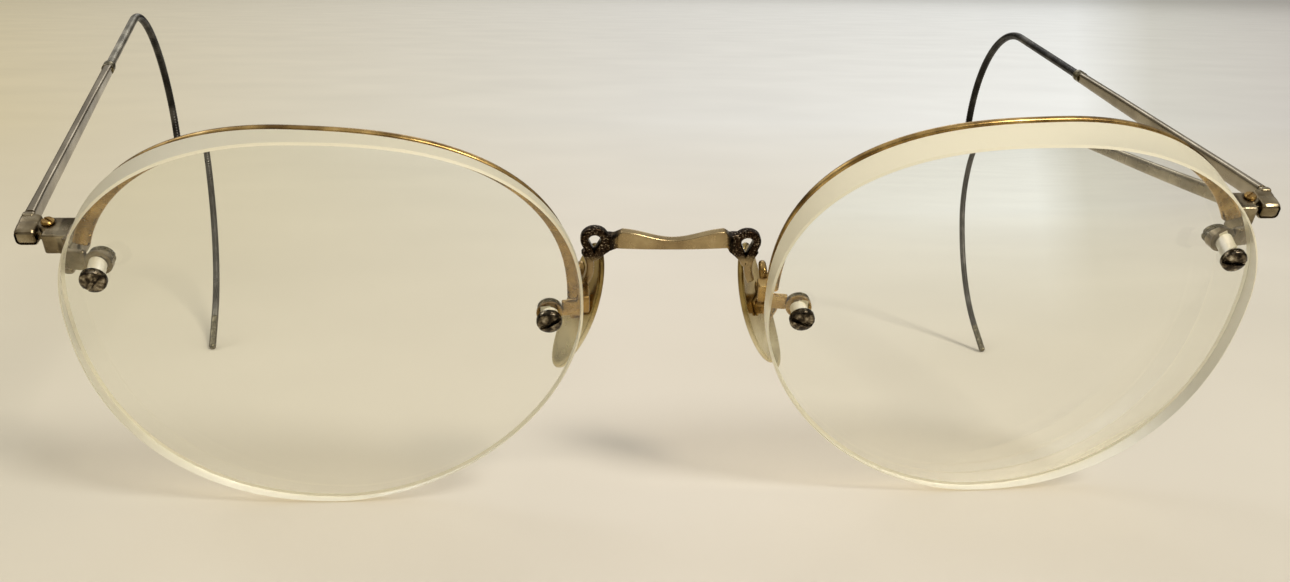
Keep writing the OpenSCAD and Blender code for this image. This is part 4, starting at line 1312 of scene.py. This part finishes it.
@dataclass
class Temple(Assembly):
    """A folding temple: butt, rolled shaft, collar, wound cable and solid tip."""

    shaft_l: float = 46.8
    butt_w: float = 1.9
    butt_up: float = 0.96
    tongue_t: float = 0.8
    cable_r: float = 0.53
    bend_r: float = 15.5
    bend_a: float = 122.0
    tail_r: float = 40.0
    tip_l: float = 7.2
    pitch: float = 0.42
    dip: float = 0.055

    def on_temple(
        self, stem: str, shell: Shell, mat: Any, slot: str, hooked: bool = False
    ) -> None:
        """Makes a piece from a shell of the temple's frame; hooked as in Layout.temple."""
        placed = shell.moved(lambda p: self.layout.temple(p, self.side, hooked))
        self.piece(stem, placed, [mat], slot, body=f"temple_{self.side.word}")

    def build(self) -> None:
        """Builds the temple from the hinge to the tip."""
        self.butt()
        self.shaft()
        self.collar()
        self.cable()
        self.tip()

    def butt(self) -> None:
        """Builds the butt: a block with the hinge tongue in front and a heel round the shaft."""
        px, py, pz = self.layout.hinge(self.side)
        r = self.layout.knuckle_r
        front, low, high = py - r - 0.2, pz - self.butt_up, pz + self.butt_up
        wide, t = self.butt_w, self.tongue_t
        ys = np.array([front, front + 0.3, front + 0.9, front + 1.5, py + 0.8, py + 1.7])
        lows = np.array([low + 0.3, low + 0.08, low, low + 0.05, low + 0.3, low + 0.5])
        highs = np.array([high - 0.28, high - 0.05, high, high, high, high])
        fine = np.linspace(0, 5, 26)
        ys, lows, highs = (np.interp(fine, np.arange(6), v) for v in (ys, lows, highs))
        path = np.stack([np.full(26, px + r + 0.12 + wide / 2), ys, (lows + highs) / 2], axis=-1)
        main = bar(path, X_AXIS, wide, highs - lows, 0.42)
        ring = [(0.44, 0), (r - 0.08, 0), (r, 0.08), (r, t - 0.08), (r - 0.08, t), (0.44, t)]
        knuckle = turned(ring, (px, py, pz - t / 2), Z_AXIS)
        tongue = block((px, py - 0.6, pz - t / 2), (px + r + 0.4, py + 0.6, pz + t / 2), 0.06)
        heel = block((-0.62, -0.9, -0.86), (0.52, 0.0, 0.86), 0.28)
        heel = heel.moved(lambda p: self.layout.temple(p, self.side))
        shell = Shell.join([self.stood(Shell.join([main, knuckle, tongue])), heel])
        body = f"temple_{self.side.word}"
        self.piece("temple_butt", shell, [self.finishes.butt], "gold_filled", body=body)

    def shaft(self) -> None:
        """Builds the shaft: flat wire, round outside and flatter inside, tapered to the collar.

        Formula: ring = (t/2 |cos a|^(2/n), h/2 |sin a|^(2/n)), with n larger on the inner side.
        """
        y = np.concatenate([np.linspace(0.05, 6, 12), np.linspace(7, self.shaft_l, 60)])
        share = y / self.shaft_l
        thick = np.interp(y, [0, 6, self.shaft_l * 0.75, self.shaft_l], [1.09, 0.95, 0.95, 1.045])
        high = np.interp(share, [0, 0.13, 0.75, 1], [1.75, 1.75, 1.52, 1.3])
        a = np.linspace(0, 2 * np.pi, 48, endpoint=False)
        c, s = np.cos(a), np.sin(a)
        n = np.where(c > 0, 2.3, 5.0)
        r = (np.abs(c) ** n + np.abs(s) ** n) ** (-1 / n)
        x, z = thick[:, None] / 2 * (r * c), high[:, None] / 2 * (r * s)
        rings = np.stack([x, np.broadcast_to(y[:, None], x.shape), z], axis=-1)[:, ::-1]
        self.on_temple("temple_shaft", Shell.grid(rings), self.finishes.shaft, "shaft_gold")

    def collar(self) -> None:
        """Builds the collar over the cable's end, with a rolled front edge."""
        y0, r = self.shaft_l + 0.05, self.cable_r + 0.2
        profile = [(0.55, y0), (r - 0.05, y0), (r, y0 + 0.07), (r, y0 + 0.35)]
        profile += [(r - 0.05, y0 + 0.42), (r - 0.05, y0 + 0.5), (r, y0 + 0.58), (r, y0 + 1.6)]
        profile += [(r - 0.1, y0 + 1.95), (0.56, y0 + 2.0)]
        shell = turned(profile, (0, 0, 0), Y_AXIS, 40)
        self.on_temple("ferrule", shell, self.finishes.nut, "cable_steel")

    def route(self, s: Array) -> tuple[Array, Array]:
        """Middle line of the cable by length: a straight, the ear bend and the flatter tail.

        Args:
            s: Lengths from the shaft's root, in millimetres.

        Returns:
            Points in Y and Z, and the turn in radians at each.
        """
        reach, bend = self.own(self.layout.reach), math.radians(self.bend_a)
        s1, s2 = self.stops
        turn = np.interp(s, [reach, s1, s2], [0, bend, bend + (s2 - s1) / self.tail_r])
        on_bend, on_tail = np.minimum(turn, bend), np.maximum(turn, bend)
        past = np.maximum(s - s2, 0)
        y = np.minimum(s, reach) + self.bend_r * np.sin(on_bend)
        z = self.bend_r * (np.cos(on_bend) - 1)
        y = y + self.tail_r * (np.sin(on_tail) - math.sin(bend)) + past * np.cos(turn)
        z = z + self.tail_r * (np.cos(on_tail) - math.cos(bend)) - past * np.sin(turn)
        return np.stack([y, z], axis=-1), turn

    @property
    def stops(self) -> Pair:
        """Lengths along the route at which the ear bend ends, and at which the tip starts."""
        s1 = self.own(self.layout.reach) + self.bend_r * math.radians(self.bend_a)
        return s1, s1 + self.tail_r * math.radians(self.own(self.layout.tail_a))

    def cable(self) -> None:
        """Builds the wound cable: a tube whose radius dips once a turn of the winding.

        Formula: r = R - dip * (1 - |cos(pi (s / pitch - a / 2 pi))|), so the dip runs as a helix.
        """
        start, end, sides = self.shaft_l + 0.1, self.stops[1], 18
        count = int((end - start) / self.pitch * 7)
        s = np.linspace(start, end, count)
        line, turn = self.route(s)
        a = np.linspace(0, 2 * np.pi, sides, endpoint=False)
        phase = s[:, None] / self.pitch - a / (2 * np.pi)
        r = self.cable_r - self.dip * (1 - np.abs(np.cos(np.pi * phase)))
        lift = r * np.sin(a)
        y = line[:, :1] + lift * np.sin(turn)[:, None]
        z = line[:, 1:] + lift * np.cos(turn)[:, None]
        shell = Shell.grid(np.stack([r * np.cos(a), y, z], axis=-1)[:, ::-1])
        made = self.finishes
        # The right cable takes the copy of the steel with a painted highlight on its straight part
        steel = made.cable_rubbed if self.side is Side.RIGHT else made.cable
        self.on_temple("cable", shell, steel, "cable_steel", hooked=True)

    def tip(self) -> None:
        """Builds the solid tip: a plain rod with a rounded end and a fine groove behind it."""
        line, turn = self.route(np.array([self.stops[1]]))
        along = np.array([0, math.cos(turn[0]), -math.sin(turn[0])])
        r, n = self.cable_r, self.tip_l
        t = np.radians(np.linspace(0, 88, 9))
        profile = [(POLE, 0.05), (r - 0.04, 0.05), (r, 0.09), (r, 0.5), (r - 0.04, 0.55)]
        profile += [(r, 0.6), (r, n - r)]
        profile += [(r * math.cos(a), n - r + r * math.sin(a)) for a in t[1:]]
        shell = turned(profile, (0, line[0, 0], line[0, 1]), along, 32)
        self.on_temple("cable_tip", shell, self.finishes.nut, "cable_steel", hooked=True)


@dataclass(frozen=True)
class Studio:
    """Pale table, soft daylight and the photograph's camera."""

    wall: str = "#E2DCD0"
    camera_mm: tuple[float, float, float] = (-7.52411, -161.9548, 52.1495)
    yaw: float = 4.784
    pitch: float = 13.075
    roll: float = 0.763
    focal_px: float = 1349.8
    frame_px: float = 1290.0
    sensor_mm: float = 36.0
    table_half_m: float = 40.0
    room_level: float = 0.8

    def build(self) -> None:
        """Builds the stage, the lights and the camera."""
        self.floor()
        self.world()
        self.lamps()
        self.camera()

    def floor(self) -> None:
        """Builds the table top: a wide pale cloth, warmer to the left and paler to the back."""
        mesh = bpy.data.meshes.new("table_cloth")
        r = self.table_half_m
        mesh.from_pydata([(-r, -r, 0), (r, -r, 0), (r, r, 0), (-r, r, 0)], [], [(0, 1, 2, 3)])
        obj = add_object("table_cloth", mesh)
        mesh.materials.append(self.cloth())

    def cloth(self) -> Any:
        """Builds the cloth's material from the place on the table, with faint soft folds.

        Returns:
            The finished Blender material.
        """
        mat, tree, where = blank("table_cloth_cotton")
        place = add_node(tree, "ShaderNodeSeparateXYZ", {0: where})
        x, y = place.outputs["X"], place.outputs["Y"]
        spread = maths(tree, "DIVIDE", x, maths(tree, "ADD", y, 0.16))
        warm = ((0.0, "#CCC4AF"), (0.45, "#D8D0C1"), (1.0, "#D0C9B8"))
        near = ramp(tree, fade(tree, x, -0.08, 0.11), warm)
        pale = ((0.0, "#CABF9F"), (0.48, "#D9D8D3"), (0.8, "#EAEDED"), (0.86, "#CECEC7"))
        far = ramp(tree, fade(tree, spread, -0.4, 0.6), (*pale, (1.0, "#C4C1BD")))
        tone = blend(tree, fade(tree, y, 0.02, 0.34), near, far)
        fold = scaled(tree, grain(tree, where, 60.0, 2.0), 0.96, 1.02)
        tinted = blend(tree, 1.0, tone, fold, "MULTIPLY")
        look = {"Base Color": tinted, "Roughness": 0.85}
        shader = add_node(tree, "ShaderNodeBsdfPrincipled", look)
        add_node(tree, "ShaderNodeOutputMaterial", {"Surface": shader.outputs[0]})
        return mat

    def world(self) -> None:
        """Lights the scene softly from above, darker towards the horizon as a room is."""
        world = bpy.data.worlds.new("room")
        bpy.context.scene.world = world
        world.use_nodes = True
        tree = world.node_tree
        tree.nodes.clear()
        where = add_node(tree, "ShaderNodeTexCoord").outputs["Generated"]
        height = add_node(tree, "ShaderNodeSeparateXYZ", {0: where}).outputs["Z"]
        rise = ((0.0, "#48433A"), (0.2, "#7C7568"), (0.5, "#D8D4CC"), (1.0, "#F6F5F2"))
        light = {"Color": ramp(tree, height, rise), "Strength": self.room_level}
        room = add_node(tree, "ShaderNodeBackground", light)
        seen = add_node(tree, "ShaderNodeBackground", {"Color": linear(self.wall), "Strength": 1.0})
        camera = add_node(tree, "ShaderNodeLightPath").outputs["Is Camera Ray"]
        ways = {0: camera, 1: room.outputs[0], 2: seen.outputs[0]}
        mixed = add_node(tree, "ShaderNodeMixShader", ways)
        add_node(tree, "ShaderNodeOutputWorld", {"Surface": mixed.outputs[0]})

    def lamps(self) -> None:
        """Adds a soft window at the front right, which throws the lens shadows back to the left."""
        for name, place, target, size, power, code in (
            ("window", (1.6, -2.6, 2.6), (0, 0, 0.02), 0.9, 112.0, "#FFFAF2"),
            ("fill", (-2.5, 1.0, 3.0), (0, 0, 0.02), 1.6, 14.0, "#F6F6FF"),
            ("far_window", (0.4, 2.4, 1.8), (0.2, 1.9, 0), 1.4, 9.0, "#FFFFFF"),
        ):
            data = bpy.data.lights.new(name, "AREA")
            data.shape = "DISK"
            data.size = size
            data.energy = power
            data.color = linear(code)[:3]
            lamp = add_object(name, data)
            lamp.location = place
            lamp.rotation_euler = self.aim(np.array(target) - np.array(place))

    @staticmethod
    def aim(direction: Array) -> tuple[float, float, float]:
        """Gives the Euler turn that points a lamp's -Z along a direction."""
        d = unit(direction)
        tilt = math.acos(-float(d[2]))
        return tilt, 0.0, math.atan2(float(d[1]), float(d[0])) - math.pi / 2

    def camera(self) -> None:
        """Places the camera where the photograph was taken from.

        Formula: R = Rz(-yaw) Rx(-pitch), then a roll about the view; columns are right, up, back.
        """
        a, b, c = (math.radians(v) for v in (self.yaw, self.pitch, self.roll))
        turn = np.array([[math.cos(a), math.sin(a), 0], [-math.sin(a), math.cos(a), 0], [0, 0, 1]])
        tilt = np.array([[1, 0, 0], [0, math.cos(b), math.sin(b)], [0, -math.sin(b), math.cos(b)]])
        base = turn @ tilt
        right, ahead, up = base[:, 0], base[:, 1], base[:, 2]
        right, up = math.cos(c) * right + math.sin(c) * up, math.cos(c) * up - math.sin(c) * right
        matrix = np.eye(4)
        matrix[:3, 0], matrix[:3, 1], matrix[:3, 2] = right, up, -ahead
        matrix[:3, 3] = np.array(self.camera_mm) / MM_PER_M
        data = bpy.data.cameras.new("photo_camera")
        data.sensor_fit = "HORIZONTAL"
        data.sensor_width = self.sensor_mm
        data.lens = self.sensor_mm * self.focal_px / self.frame_px
        data.clip_start = 0.005
        camera = add_object("photo_camera", data)
        camera.matrix_world = [tuple(row) for row in matrix.T]
        bpy.context.scene.camera = camera


def main() -> None:
    """Builds the glasses in order, then the stage, and reports each piece."""
    logging.basicConfig(level=logging.INFO, format="%(message)s")
    bpy.context.scene.view_settings.view_transform = "Standard"
    layout, finishes = Layout(), Finishes.create()
    for side in Side:
        lens = Lens(layout, finishes, side)
        lens.build()
        Front(layout, finishes, side).build(lens)
        NosePad(layout, finishes, side).build()
        Temple(layout, finishes, side).build()
    Bridge(layout, finishes, Side.LEFT).build()
    Studio().build()
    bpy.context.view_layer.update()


if __name__ == "__main__":
    main()
